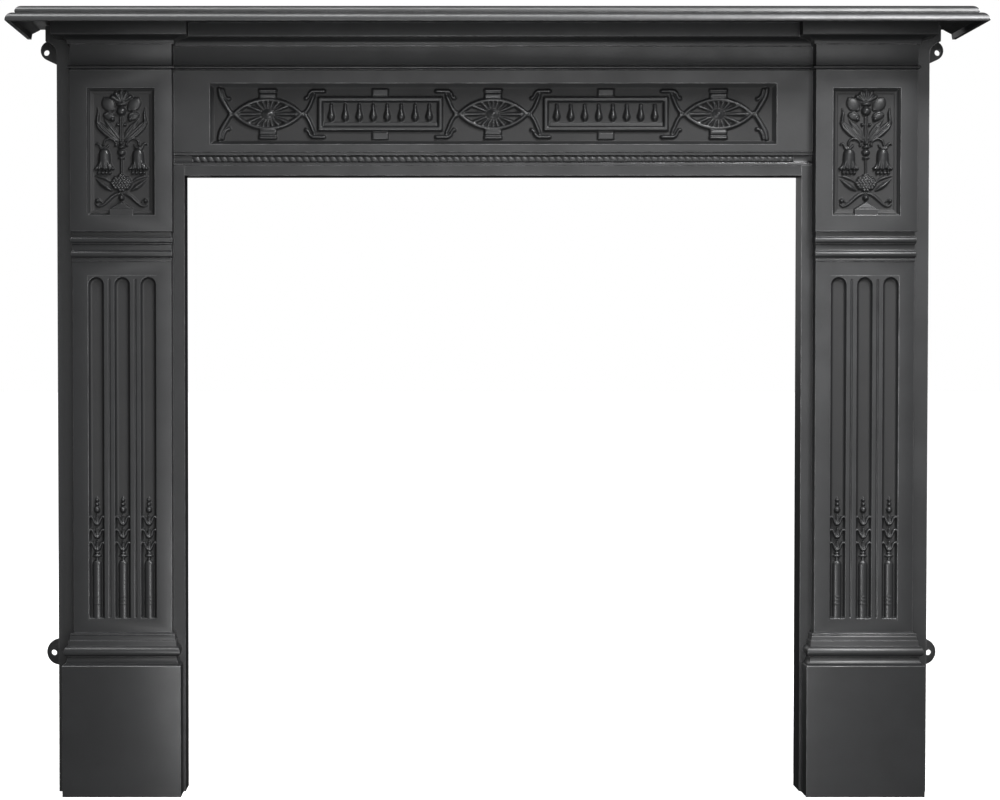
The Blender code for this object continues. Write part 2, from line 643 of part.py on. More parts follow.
class FriezePanel(Relief):
    """The long sunk panel of the frieze and the work that fills it."""

    def __init__(self, bm):
        super().__init__(bm, FRIEZE_DEPTH - FRIEZE_SINK)
        self.half = FRIEZE_HALF - FRIEZE_PANEL_SIDE
        self.low = FIELD_FOOT + FRIEZE_PANEL_FOOT
        self.high = FIELD_TOP - FRIEZE_PANEL_HEAD
        self.middle = (self.low + self.high) / 2
        self.pitch = 2 * self.half * LENS_SHARE
        self.tablet_half = self.pitch / 2 - LENS_LENGTH / 2 - TABLET_GAP

    def carve(self):
        """Three rosettes in pointed ovals, two framed rows of drops and the straps that link them."""
        for place in (-1, 0, 1):
            self.rosette(place * self.pitch)
        for place in (-0.5, 0.5):
            self.drops(place * self.pitch)
        for side in (-1, 1):
            self.end_straps(side)
            for turn in (-1, 1):
                self.bracket(side * (self.pitch / 2 - self.tablet_half), side, turn)
                self.bracket(side * (self.pitch / 2 + self.tablet_half), -side, turn)

    def strap(self, points, width=STRAP_WIDTH, height=STRAP_HEIGHT, loop=False):
        """A ridged strap of even width through (across, up) points about the panel's middle line."""
        path = [(across, self.middle + up) for across, up in points]
        self.ridge(path, [width] * len(path), height, loop)

    def tabs(self, across, half_width, near):
        """The blocks above and below a rosette or a tablet."""
        for turn in (-1, 1):
            low, high = sorted((self.middle + turn * near, self.middle + turn * TAB_TOP))
            self.block(across - half_width, across + half_width, low, high, STRAP_HEIGHT)

    def rosette(self, across):
        """A pointed oval of two arcs, with its petals and boss."""
        half, rise = (LENS_LENGTH - LENS_RIM) / 2, (LENS_HEIGHT - LENS_RIM) / 2
        radius = (half * half + rise * rise) / (2 * rise)
        reach = math.asin(half / radius)
        points = []
        for turn in (1, -1):
            for step in range(LENS_STEPS):
                angle = turn * reach * (1 - 2 * step / LENS_STEPS)
                points.append((across - radius * math.sin(angle), turn * (radius * math.cos(angle) - radius + rise)))
        self.strap(points, LENS_RIM, RELIEF * 0.8, loop=True)
        under = self.foot() - self.ground
        tiers = ((1.0, 0.80, under, under), (0.70, 0.66, 0.0042, 0.0018), (0.30, 0.30, RELIEF, RELIEF))
        rings = []
        for petal, notch, petal_out, notch_out in tiers:
            ring = []
            for i in range(2 * PETALS):
                angle = math.pi * i / PETALS
                share, out = (notch, notch_out) if i % 2 else (petal, petal_out)
                x = across + ROSETTE_WIDTH / 2 * share * math.cos(angle)
                ring.append((x, self.ground + out, self.middle + ROSETTE_HEIGHT / 2 * share * math.sin(angle)))
            rings.append(ring)
        add_loft(self.bm, rings)
        self.tabs(across, 0.0140, LENS_HEIGHT / 2 + 0.001)

    def drops(self, across):
        """A framed tablet with a row of pear drops."""
        half = self.tablet_half - TABLET_BAR / 2
        rise = (TABLET_HEIGHT - TABLET_BAR) / 2
        under = self.foot() - self.ground
        rings = []
        for corner_x, corner_z in ((-1, -1), (1, -1), (1, 1), (-1, 1)):
            ring = []
            for shift, out in ((0.5, under), (-0.5, under), (-0.3, RELIEF * 0.85), (0.3, RELIEF * 0.85)):
                x = across + corner_x * (half + shift * TABLET_BAR)
                ring.append((x, self.ground + out, self.middle + corner_z * (rise + shift * TABLET_BAR)))
            rings.append(ring)
        add_loft(self.bm, rings, loop=True)
        pitch = 2 * (half - TABLET_BAR) / DROPS
        for i in range(DROPS):
            middle = across + pitch * (i - (DROPS - 1) / 2)
            shares = (0.0, 0.28, 0.65, 1.0)
            path = [(middle, self.middle + DROP_HEIGHT * (share - 0.48)) for share in shares]
            self.ridge(path, (0.0, DROP_WIDTH, DROP_WIDTH * 0.6, 0.0), RELIEF * 0.8)
        self.tabs(across, 0.0125, TABLET_HEIGHT / 2 + 0.002)

    def bracket(self, edge, side, turn):
        """A strap from a rosette's point to the stepped bracket at a tablet's corner."""
        tip = edge - side * TABLET_GAP
        self.strap([(tip + side * 0.002, turn * 0.0035), (edge - side * 0.0085, turn * 0.0150)])
        corner = edge - side * 0.0100
        path = [(edge + side * 0.012, turn * 0.0360), (corner, turn * 0.0360), (corner - side * 0.004, turn * 0.0215)]
        self.strap(path)

    def end_straps(self, side):
        """The straps that fork from an outer rosette to the panel's end, and their scrolls."""
        tip = self.pitch + LENS_LENGTH / 2
        for turn in (-1, 1):
            points = [(tip + 0.002, 0.004), (tip + 0.011, 0.014), (tip + 0.018, 0.034)]
            self.strap([(side * across, turn * up) for across, up in points])
            hook = [(tip + 0.010, 0.036), (tip - 0.001, 0.034), (tip - 0.005, 0.023)]
            self.strap([(side * across, turn * up) for across, up in hook])


def build_frieze(material):
    """The lintel: one section drawn from end to end, its panel sunk, carved and roped."""
    place = (0.0, WALL_Y, 0.0)
    bm = bmesh.new()
    rough_half = FRIEZE_HALF + 0.010
    add_loft(bm, [[(side * rough_half, out, up) for out, up in frieze_section()] for side in (-1, 1)])
    frieze = make_object("frieze", bm, place)
    frieze.data.materials.append(material)

    bm = bmesh.new()
    reach = OPENING_WIDTH / 2 - GAP
    for side in (-1, 1):
        left, right = sorted((side * reach, side * (FRIEZE_HALF + 0.02)))
        add_box(bm, left, right, -0.01, FRIEZE_DEPTH + 0.02, OPENING_HEIGHT - 0.01, LIP_TOP)
    inner = FRIEZE_HALF - WALL
    add_box(bm, -inner, inner, -0.01, FRIEZE_DEPTH - FRIEZE_SINK - WALL, LIP_TOP + WALL, JAMB_TOP - WALL)
    combine(frieze, make_object("frieze_hollow", bm, place), "DIFFERENCE")

    bm = bmesh.new()
    low = FIELD_TOP + 0.010
    add_box(bm, -inner + CORNICE_REACH, inner - CORNICE_REACH, -0.009, FRIEZE_DEPTH - WALL, low, JAMB_TOP - WALL - 0.001)
    combine(frieze, make_object("frieze_cornice_hollow", bm, place), "DIFFERENCE")

    for side, label in ((-1, "left"), (1, "right")):
        bm = bmesh.new()
        levels = [level for level in column_levels() if level[0] > CAPITAL_FOOT - GAP]
        levels.append((JAMB_TOP + 0.01, *levels[-1][1:]))
        add_column(bm, levels, GAP, -0.01)
        cutter = make_object(f"frieze_{label}_end", bm, (side * COLUMN_X, WALL_Y, 0.0))
        combine(frieze, cutter, "DIFFERENCE")

    bm = bmesh.new()
    panel = FriezePanel(bm)
    rings = []
    for shift, sink in ((0.0, -0.25), (0.0, 0.0), (0.4, 0.5), (0.6, 0.5), (1.0, 1.0)):
        inset = FRIEZE_FRAME * shift
        out = FRIEZE_DEPTH - FRIEZE_SINK * sink
        left, right = -panel.half + inset, panel.half - inset
        low, high = panel.low + inset, panel.high - inset
        rings.append([(left, out, low), (right, out, low), (right, out, high), (left, out, high)])
    add_loft(bm, rings)
    combine(frieze, make_object("frieze_panel", bm, place), "DIFFERENCE")

    bm = bmesh.new()
    FriezePanel(bm).carve()
    add_rope(bm)
    combine(frieze, make_object("frieze_carving", bm, place), "UNION")
    return frieze


def add_rope(bm):
    """A rope laid along the lintel, one bar with a slanted ridge for each turn of its strands."""
    reach = OPENING_WIDTH / 2 - ROPE_END
    count = round(2 * reach / ROPE_TURN)
    turn = 2 * reach / count
    ground = FRIEZE_DEPTH - ROPE_SINK
    middle = LIP_TOP + ROPE_BAND / 2
    half = ROPE_WIDTH / 2
    slant = -turn * 0.45
    valley, ridge = ROPE_HEIGHT * 0.3, ROPE_HEIGHT
    edges = []
    for side in (-1, 1):
        edge = []
        for i in range(2 * count + 1):
            rise = ridge if i % 2 else valley
            inset = half - rise * 0.45
            across = -reach + turn * i / 2 + (side * slant if i % 2 else side * slant * 0.9)
            edge.append(bm.verts.new((across, -(ground + rise), middle + side * inset)))
        edges.append(edge)
    lower, upper = edges
    feet = []
    for side, edge in zip((-1, 1), edges):
        inset = half + FOOT * 0.45
        feet.append([bm.verts.new((end.co.x, FOOT - ground, middle + side * inset)) for end in (edge[0], edge[-1])])
    for i in range(2 * count):
        bm.faces.new((lower[i], lower[i + 1], upper[i + 1], upper[i]))
    for edge, foot in zip(edges, feet):
        bm.faces.new((foot[0], *edge, foot[1]))
    bm.faces.new((feet[0][0], feet[0][1], feet[1][1], feet[1][0]))
    for end in (0, -1):
        bm.faces.new((lower[end], upper[end], feet[1][end], feet[0][end]))


def shelf_levels():
    """(up, inset) of the shelf's rim, from under its nose to its top."""
    foot = SHELF_TOP - SHELF_RIM
    radius = NOSE_HEIGHT / 2
    levels = []
    for step in range(7):
        angle = math.pi * (step / 6 - 0.5)
        levels.append((foot + radius + radius * math.sin(angle), radius * (1 - math.cos(angle))))
    groove = (foot + NOSE_HEIGHT + 0.0003, NOSE_STEP)
    levels += [groove, (groove[0] + 0.0008, NOSE_STEP - 0.0006)]
    end = (SHELF_TOP, NOSE_STEP + SHELF_SHOULDER)
    half = ((levels[-1][0] + end[0]) / 2, (levels[-1][1] + end[1]) / 2)
    levels += arc(levels[-1], half, 2, 1)
    levels += arc(half, end, 2, -1)
    return levels


def shelf_ring(up, inset):
    """The shelf's outline at one level, flush with the wall at its back."""
    return rectangle(inset - SHELF_HALF, SHELF_HALF - inset, 0.0, SHELF_DEPTH - inset, up)


def build_shelf(material):
    """The shelf: a plate with a moulded rim round three sides, hollow underneath."""
    place = (0.0, WALL_Y, 0.0)
    bm = bmesh.new()
    add_loft(bm, [shelf_ring(up, inset) for up, inset in shelf_levels()])
    shelf = make_object("shelf", bm, place)
    shelf.data.materials.append(material)

    bm = bmesh.new()
    foot = SHELF_TOP - SHELF_RIM
    hollow_top = SHELF_TOP - SHELF_PLATE
    rings = []
    for up, inset in ((foot - 0.002, RIM_WALL * 0.8), (foot + NOSE_HEIGHT * 0.6, RIM_WALL), (hollow_top, RIM_WALL * 2.6)):
        rings.append(rectangle(inset - SHELF_HALF, SHELF_HALF - inset, -0.002, SHELF_DEPTH - inset, up))
    add_loft(bm, rings)
    combine(shelf, make_object("shelf_hollow", bm, place), "DIFFERENCE")
    return shelf


def main():
    """Clears the scene and builds the four castings."""
    clear_scene()
    build_shelf(iron("shelf_iron", (0.030, 0.031, 0.033), 0.42))
    build_frieze(iron("frieze_iron", (0.026, 0.027, 0.029), 0.45))
    build_jamb("left_jamb", -1, iron("left_jamb_iron", (0.024, 0.025, 0.027), 0.45))
    build_jamb("right_jamb", 1, iron("right_jamb_iron", (0.028, 0.029, 0.031), 0.45))


main()
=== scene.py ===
"""Looks of a black-leaded cast-iron fireplace surround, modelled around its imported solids.

Lengths are metres, except where a name ends in _mm. The front looks along -Y, the wall is the
plane y = wall, the floor is z = 0 and x = 0 is the middle of the hearth opening.
"""

import logging
import math
from collections.abc import Callable, Sequence
from dataclasses import astuple, dataclass, field
from enum import Enum

import bpy
import numpy as np
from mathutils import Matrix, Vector


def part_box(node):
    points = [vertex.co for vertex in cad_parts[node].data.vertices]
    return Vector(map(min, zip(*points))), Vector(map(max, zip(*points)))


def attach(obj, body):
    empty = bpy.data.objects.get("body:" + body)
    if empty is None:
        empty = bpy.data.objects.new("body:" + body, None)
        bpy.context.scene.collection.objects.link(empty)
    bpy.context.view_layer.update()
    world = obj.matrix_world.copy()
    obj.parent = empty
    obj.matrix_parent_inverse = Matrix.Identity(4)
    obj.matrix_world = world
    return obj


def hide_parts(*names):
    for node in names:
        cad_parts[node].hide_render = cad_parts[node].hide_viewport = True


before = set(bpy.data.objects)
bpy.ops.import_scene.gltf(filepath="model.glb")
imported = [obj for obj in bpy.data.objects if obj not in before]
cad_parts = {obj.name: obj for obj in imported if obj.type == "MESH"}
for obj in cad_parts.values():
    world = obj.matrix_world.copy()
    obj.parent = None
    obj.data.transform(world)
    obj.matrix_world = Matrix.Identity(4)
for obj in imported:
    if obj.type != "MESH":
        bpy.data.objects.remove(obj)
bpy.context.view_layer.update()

LOG = logging.getLogger("surround")
MM = 0.001
ROOT = "root"

Point = tuple[float, float]
Level = tuple[float, float, float]


class Section(Enum):
    """How a carved stroke rises from one edge to the other."""

    ROUND = "round"
    FULL = "full"
    KEEL = "keel"
    STRAP = "strap"
    RIBBED = "ribbed"
    CUPPED = "cupped"


class Cut(Enum):
    """What a helper solid does to the casting it meets."""

    UNITE = "UNION"
    REMOVE = "DIFFERENCE"


class Face(Enum):
    """The side of the surround that a jamb stands at."""

    LEFT = -1
    RIGHT = 1


def section_rise(place: np.ndarray, section: Section) -> np.ndarray:
    """Gives the height of a stroke across its width.

    Args:
        place: Distance from the stroke's middle line, from -1 to 1 at its edges.
        section: The kind of stroke.

    Returns:
        The share of the full height at each place.
    """
    away = np.clip(np.abs(place), 0.0, 1.0)
    swell = np.sqrt(1.0 - away**2)
    if section is Section.FULL:
        return swell**0.8
    if section is Section.KEEL:
        return (1.0 - away) ** 0.75
    if section is Section.STRAP:
        return np.minimum(1.0, 2.8 * (1.0 - away)) * (0.86 + 0.14 * (1.0 - away))
    if section is Section.RIBBED:
        return swell * (0.76 + 0.24 * np.cos(3.0 * math.pi * place))
    if section is Section.CUPPED:
        return swell**0.5 * (0.55 + 0.45 * away**2)
    return swell


def smooth_path(points: Sequence[Point], steps: int = 7) -> np.ndarray:
    """Runs a smooth curve through given points.

    Args:
        points: The places that the curve passes.
        steps: Points made between each pair of places.

    Returns:
        Rows of across, up and the share of the way along.
    """
    held = np.array(points, float)
    padded = np.vstack([2 * held[0] - held[1], held, 2 * held[-1] - held[-2]])
    rows = []
    for i in range(len(held) - 1):
        a, b, c, d = padded[i : i + 4]
        for step in range(steps):
            t = step / steps
            curve = 2 * b + (c - a) * t + (2 * a - 5 * b + 4 * c - d) * t**2 + (3 * b - a - 3 * c + d) * t**3
            rows.append((*(curve / 2), i + t))
    rows.append((*held[-1], len(held) - 1))
    return np.array(rows)


class Carving:
    """Low relief as heights over a ground, drawn in millimetres on a grid of places."""

    def __init__(self, across_mm: np.ndarray, up_mm: np.ndarray) -> None:
        """Starts with a flat ground.

        Args:
            across_mm: The grid's places from left to right.
            up_mm: The grid's places from foot to head.
        """
        self.across = across_mm
        self.up = up_mm
        self.u, self.v = np.meshgrid(across_mm, up_mm)
        self.height = np.zeros_like(self.u)

    def window(self, low: Point, high: Point) -> tuple[slice, slice]:
        """Finds the part of the grid between two corners."""
        columns = np.searchsorted(self.across, (low[0], high[0]))
        rows = np.searchsorted(self.up, (low[1], high[1]))
        return slice(rows[0], rows[1] + 1), slice(columns[0], columns[1] + 1)

    def raise_to(self, part: tuple[slice, slice], height: np.ndarray) -> None:
        """Lifts the ground to the given heights where they are higher."""
        self.height[part] = np.maximum(self.height[part], height)

    def boss(
        self, middle: Point, size: Point, height: float, lean: float = 0.0, flatness: float = 0.5
    ) -> None:
        """Raises an oval boss.

        Args:
            middle: Its place.
            size: Half its width and half its height.
            height: Its rise above the ground.
            lean: Its turn in degrees, from level towards upright.
            flatness: The power of its swelling, 0.5 for a half round.
        """
        reach = max(size)
        part = self.window((middle[0] - reach, middle[1] - reach), (middle[0] + reach, middle[1] + reach))
        du, dv = self.u[part] - middle[0], self.v[part] - middle[1]
        turn = math.radians(lean)
        along = (du * math.cos(turn) + dv * math.sin(turn)) / size[0]
        beside = (dv * math.cos(turn) - du * math.sin(turn)) / size[1]
        self.raise_to(part, height * np.clip(1.0 - along**2 - beside**2, 0.0, 1.0) ** flatness)

    def bead(self, middle: Point, radius: float, height: float) -> None:
        """Raises a small round bead."""
        self.boss(middle, (radius, radius), height)

    def stroke(
        self,
        points: Sequence[Point],
        widths: Sequence[float],
        heights: Sequence[float] | float,
        section: Section = Section.ROUND,
        blunt: bool = False,
    ) -> None:
        """Raises a leaf, stem or strap along a smooth curve.

        Args:
            points: The places that the curve passes.
            widths: Its width at each place; 0 makes a point.
            heights: Its rise at each place, or one rise for all.
            section: How it rises across its width.
            blunt: Whether its ends are cut straight across instead of rounded.
        """
        path = smooth_path(points)
        margin = max(widths) / 2 + 0.5
        low, high = path[:, :2].min(0) - margin, path[:, :2].max(0) + margin
        part = self.window(tuple(low), tuple(high))
        u, v = self.u[part][..., None], self.v[part][..., None]
        start, run = path[:-1, :2], np.diff(path[:, :2], axis=0)
        length = np.maximum((run**2).sum(1), 1e-9)
        du, dv = u - start[:, 0], v - start[:, 1]
        reach = (du * run[:, 0] + dv * run[:, 1]) / length
        share = np.clip(reach, 0.0, 1.0)
        off_u, off_v = du - share * run[:, 0], dv - share * run[:, 1]
        distance = np.hypot(off_u, off_v)
        nearest = distance.argmin(-1)[..., None]
        distance = np.take_along_axis(distance, nearest, -1)[..., 0]
        side = np.sign(np.take_along_axis(run[:, 0] * dv - run[:, 1] * du, nearest, -1)[..., 0])
        span = np.diff(path[:, 2])
        along = np.take_along_axis(path[:-1, 2] + share * span, nearest, -1)[..., 0]
        places = np.arange(len(points))
        half = np.interp(along, places, widths) / 2
        rise = np.interp(along, places, np.broadcast_to(heights, len(points)))
        place = side * distance / np.maximum(half, 1e-6)
        inside = distance < half
        if blunt:
            inside &= (reach[..., 0] > 0.0) & (reach[..., -1] < 1.0)
        self.raise_to(part, np.where(inside, rise * section_rise(place, section), 0.0))

    def plate(self, outline: Sequence[Point], height: float, slope: float) -> None:
        """Raises a flat-topped piece.

        Args:
            outline: Its corners, in order.
            height: Its rise above the ground.
            slope: The width of its sloped edge.
        """
        corners = np.array(outline, float)
        part = self.window(tuple(corners.min(0)), tuple(corners.max(0)))
        u, v = self.u[part], self.v[part]
        inside = np.zeros(u.shape, bool)
        edge = np.full(u.shape, np.inf)
        for a, b in zip(corners, np.roll(corners, -1, 0)):
            run = b - a
            share = np.clip(((u - a[0]) * run[0] + (v - a[1]) * run[1]) / (run @ run), 0.0, 1.0)
            edge = np.minimum(edge, np.hypot(u - a[0] - share * run[0], v - a[1] - share * run[1]))
            crosses = (a[1] > v) != (b[1] > v)
            rise = b[1] - a[1] if b[1] != a[1] else 1e-9
            inside ^= crosses & (u < a[0] + (v - a[1]) * run[0] / rise)
        shoulder = np.clip(edge / slope, 0.0, 1.0)
        self.raise_to(part, np.where(inside, height * np.sqrt(1 - (1 - shoulder) ** 2), 0.0))

    def tile(self, low: Point, high: Point, height: float, slope: float) -> None:
        """Raises a flat-topped oblong between two corners."""
        self.plate([low, (high[0], low[1]), high, (low[0], high[1])], height, slope)

    def mirror(self) -> None:
        """Repeats what is drawn on either side of the middle line on the other."""
        self.height = np.maximum(self.height, self.height[:, ::-1])

    def soften(self, passes: int = 1) -> None:
        """Rounds every edge a little, as the sand mould does."""
        for _ in range(passes):
            for axis in (0, 1):
                held = np.pad(self.height, [(1, 1) if k == axis else (0, 0) for k in (0, 1)], mode="edge")
                count = held.shape[axis]
                before = np.take(held, range(count - 2), axis)
                here = np.take(held, range(1, count - 1), axis)
                after = np.take(held, range(2, count), axis)
                self.height = (before + 2 * here + after) / 4


class Workbench:
    """Hand tools: each one selects for itself and leaves a clean object behind."""

    @staticmethod
    def clear() -> None:
        """Leaves edit mode and deselects everything."""
        if bpy.context.mode != "OBJECT":
            bpy.ops.object.mode_set(mode="OBJECT")
        bpy.ops.object.select_all(action="DESELECT")

    @staticmethod
    def hold(obj: bpy.types.Object) -> None:
        """Makes one object the selected and active one."""
        Workbench.clear()
        obj.select_set(True)
        bpy.context.view_layer.objects.active = obj

    @staticmethod
    def edit(obj: bpy.types.Object, mode: str = "FACE", everything: bool = False) -> None:
        """Opens an object in edit mode.

        Args:
            obj: The object.
            mode: What is picked: VERT, EDGE or FACE.
            everything: Whether all of it starts selected.
        """
        Workbench.hold(obj)
        bpy.ops.object.mode_set(mode="EDIT")
        bpy.ops.mesh.select_mode(type=mode)
        bpy.ops.mesh.select_all(action="SELECT" if everything else "DESELECT")

    @staticmethod
    def pick_vertices(obj: bpy.types.Object, test: Callable[[Vector], bool]) -> None:
        """Selects the vertices that pass a test and opens the object in edit mode.

        Args:
            obj: The object.
            test: Says of a place whether it is wanted.
        """
        Workbench.edit(obj, "VERT")
        bpy.ops.object.mode_set(mode="OBJECT")
        for vertex in obj.data.vertices:
            vertex.select = test(vertex.co)
        bpy.ops.object.mode_set(mode="EDIT")

    @staticmethod
    def place(name: str, low: Vector, high: Vector) -> bpy.types.Object:
        """Stretches the new primitive over a box and applies its place.

        Args:
            name: The object's name.
            low: The box's lowest corner.
            high: The box's highest corner.

        Returns:
            The object, at the origin, with its place in its mesh.
        """
        obj = bpy.context.object
        obj.name = name
        obj.location = (low + high) / 2
        obj.scale = [max(size, 1e-9) for size in high - low]
        bpy.ops.object.transform_apply(location=True, rotation=True, scale=True)
        return obj

    @staticmethod
    def block(name: str, low: Sequence[float], high: Sequence[float]) -> bpy.types.Object:
        """Adds a plain block between two corners."""
        Workbench.clear()
        bpy.ops.mesh.primitive_cube_add(size=1)
        return Workbench.place(name, Vector(low), Vector(high))

    @staticmethod
    def rod(name: str, middle: Sequence[float], radius: float, length: float, sides: int) -> bpy.types.Object:
        """Adds a round rod that lies along Y.

        Args:
            name: The object's name.
            middle: Its middle.
            radius: Its radius.
            length: Its length.
            sides: Its number of sides.

        Returns:
            The rod.
        """
        Workbench.clear()
        bpy.ops.mesh.primitive_cylinder_add(
            vertices=sides, radius=radius, depth=length, location=middle, rotation=(math.pi / 2, 0, 0)
        )
        rod = bpy.context.object
        rod.name = name
        bpy.ops.object.transform_apply(location=True, rotation=True, scale=True)
        return rod

    @staticmethod
    def draw_up(
        name: str, middle: float, wall: float, levels: Sequence[Level], corner: float
    ) -> bpy.types.Object:
        """Draws a moulded block up from a rounded plan, through one extrusion for each level.

        Args:
            name: The object's name.
            middle: The plan's middle across.
            wall: The plane at its back, which stays put.
            levels: Rows of height, half width and depth, from the foot up.
            corner: The radius of its upright front edges, or 0.

        Returns:
            The closed block.
        """
        foot, half, depth = levels[0]
        Workbench.clear()
        bpy.ops.mesh.primitive_plane_add(size=1)
        low, high = Vector((middle - half, wall - depth, foot)), Vector((middle + half, wall, foot))
        obj = Workbench.place(name, low, high)
        if corner:
            front = wall - depth / 2
            Workbench.pick_vertices(obj, lambda co: co.y < front)
            bpy.ops.mesh.bevel(offset=corner, segments=3, affect="VERTICES")
        Workbench.edit(obj, "FACE", everything=True)
        for before, after in zip(levels, levels[1:]):
            bpy.ops.mesh.extrude_region_move(TRANSFORM_OT_translate={"value": (0, 0, after[0] - before[0])})
            size = (after[1] / before[1], after[2] / before[2], 1.0)
            bpy.ops.transform.resize(value=size, center_override=(middle, wall, after[0]))
        Workbench.face_out(obj)
        return obj

    @staticmethod
    def face_out(obj: bpy.types.Object) -> None:
        """Turns all faces outward and closes edit mode."""
        Workbench.edit(obj, "FACE", everything=True)
        bpy.ops.mesh.normals_make_consistent(inside=False)
        Workbench.clear()

    @staticmethod
    def combine(obj: bpy.types.Object, tool: bpy.types.Object, cut: Cut) -> None:
        """Unites a helper with a casting or cuts it out, and takes the helper away."""
        Workbench.hold(obj)
        modifier = obj.modifiers.new(cut.name.lower(), "BOOLEAN")
        modifier.operation = cut.value
        modifier.solver = "MANIFOLD"
        modifier.object = tool
        bpy.ops.object.modifier_apply(modifier=modifier.name)
        bpy.data.objects.remove(tool, do_unlink=True)

    @staticmethod
    def cut_box(obj: bpy.types.Object, low: Sequence[float], high: Sequence[float]) -> None:
        """Cuts a plain box out of a casting."""
        Workbench.combine(obj, Workbench.block("box", low, high), Cut.REMOVE)

    @staticmethod
    def ease(obj: bpy.types.Object, width: float, degrees: float = 40.0, segments: int = 2) -> None:
        """Rounds the sharp arrises of a casting.

        Args:
            obj: The casting.
            width: How far the rounding reaches from the arris.
            degrees: The least turn that counts as sharp.
            segments: Facets in the rounding.
        """
        Workbench.hold(obj)
        modifier = obj.modifiers.new("ease", "BEVEL")
        modifier.width = width
        modifier.segments = segments
        modifier.limit_method = "ANGLE"
        modifier.angle_limit = math.radians(degrees)
        bpy.ops.object.modifier_apply(modifier=modifier.name)

    @staticmethod
    def join(name: str, pieces: Sequence[bpy.types.Object]) -> bpy.types.Object:
        """Joins pieces into the first of them and names the result."""
        Workbench.hold(pieces[0])
        for piece in pieces[1:]:
            piece.select_set(True)
        bpy.ops.object.join()
        pieces[0].name = name
        pieces[0].data.name = name
        return pieces[0]

    @staticmethod
    def shade(obj: bpy.types.Object, degrees: float = 32.0) -> None:
        """Shades smooth, with edges sharper than an angle kept crisp."""
        Workbench.hold(obj)
        bpy.ops.object.shade_smooth_by_angle(angle=math.radians(degrees))

    @staticmethod
    def sheet(
        name: str, across: np.ndarray, up: np.ndarray, front: np.ndarray, back: float
    ) -> bpy.types.Object:
        """Lays a grid over a carved surface and closes it with sides and a flat back.

        Args:
            name: The object's name.
            across: The grid's x places.
            up: The grid's z places.
            front: The y of the surface, one row for each z place.
            back: The y of the flat back.

        Returns:
            The closed slab.
        """
        Workbench.clear()
        columns, rows = len(across) - 1, len(up) - 1
        bpy.ops.mesh.primitive_grid_add(x_subdivisions=columns, y_subdivisions=rows, size=1)
        obj = bpy.context.object
        obj.name = name
        co = np.zeros(len(obj.data.vertices) * 3)
        obj.data.vertices.foreach_get("co", co)
        co = co.reshape(-1, 3)
        column = np.rint((co[:, 0] + 0.5) * columns).astype(int)
        row = np.rint((co[:, 1] + 0.5) * rows).astype(int)
        placed = np.stack([across[column], front[row, column], up[row]], 1)
        obj.data.vertices.foreach_set("co", placed.ravel())
        obj.data.update()
        Workbench.edit(obj, "FACE", everything=True)
        bpy.ops.mesh.faces_shade_smooth()
        bpy.ops.mesh.select_mode(type="EDGE")
        bpy.ops.mesh.select_all(action="DESELECT")
        bpy.ops.mesh.select_non_manifold()
        bpy.ops.mesh.mark_sharp()
        bpy.ops.mesh.extrude_edges_move()
        bpy.ops.transform.resize(value=(1, 0, 1), center_override=(0, back, 0))
        bpy.ops.mesh.edge_face_add()
        bpy.ops.mesh.mark_sharp()
        bpy.ops.object.mode_set(mode="OBJECT")
        return obj


class Profile:
    """A moulding's outline: height against reach, drawn upward with straight and curved runs."""

    least_turn = 20.0

    def __init__(self, up: float, reach: float) -> None:
        """Starts the outline at a height and reach."""
        self.points: list[Point] = [(up, reach)]

    def line(self, up: float, reach: float) -> "Profile":
        """Runs straight to a place."""
        self.points.append((up, reach))
        return self

    def swell(self, up: float, reach: float, bulge: float, steps: int = 8) -> "Profile":
        """Runs to a place in a round that stands out from the straight line, or back from it.

        Args:
            up: The height at its end.
            reach: The reach at its end.
            bulge: How far its middle stands out; below 0 it is hollow.
            steps: The number of straight bits in it.

        Returns:
            The outline itself.
        """
        start_up, start_reach = self.points[-1]
        for step in range(1, steps + 1):
            share = step / steps
            angle = math.pi * share
            rise = (1 - math.cos(angle)) / 2
            out = start_reach + (reach - start_reach) * rise + bulge * math.sin(angle)
            self.points.append((start_up + (up - start_up) * rise, out))
        return self

    def quarter(self, up: float, reach: float, hollow: bool, steps: int = 6) -> "Profile":
        """Runs to a place in a quarter round.

        Args:
            up: The height at its end.
            reach: The reach at its end.
            hollow: Whether it leaves upright and curls out at its end.
            steps: The number of straight bits in it.

        Returns:
            The outline itself.
        """
        start_up, start_reach = self.points[-1]
        for step in range(1, steps + 1):
            angle = math.pi / 2 * step / steps
            steep, slow = math.sin(angle), 1 - math.cos(angle)
            rise, run = (steep, slow) if hollow else (slow, steep)
            self.points.append((start_up + (up - start_up) * rise, start_reach + (reach - start_reach) * run))
        return self

    def eased(self, radius: float) -> list[Point]:
        """Rounds the outline's sharp turns.

        Args:
            radius: How far the rounding reaches from each turn.

        Returns:
            The outline's points.
        """
        points = [self.points[0]]
        for before, here, after in zip(self.points, self.points[1:], self.points[2:]):
            one, two = Vector(before) - Vector(here), Vector(after) - Vector(here)
            if one.length < 1e-9 or two.length < 1e-9:
                continue
            if math.pi - one.angle(two) < math.radians(self.least_turn):
                points.append(here)
                continue
            cut_one, cut_two = min(radius, one.length * 0.45), min(radius, two.length * 0.45)
            start, end = Vector(here) + one.normalized() * cut_one, Vector(here) + two.normalized() * cut_two
            points += [tuple(start), tuple((start + end) / 4 + Vector(here) / 2), tuple(end)]
        points.append(self.points[-1])
        return points


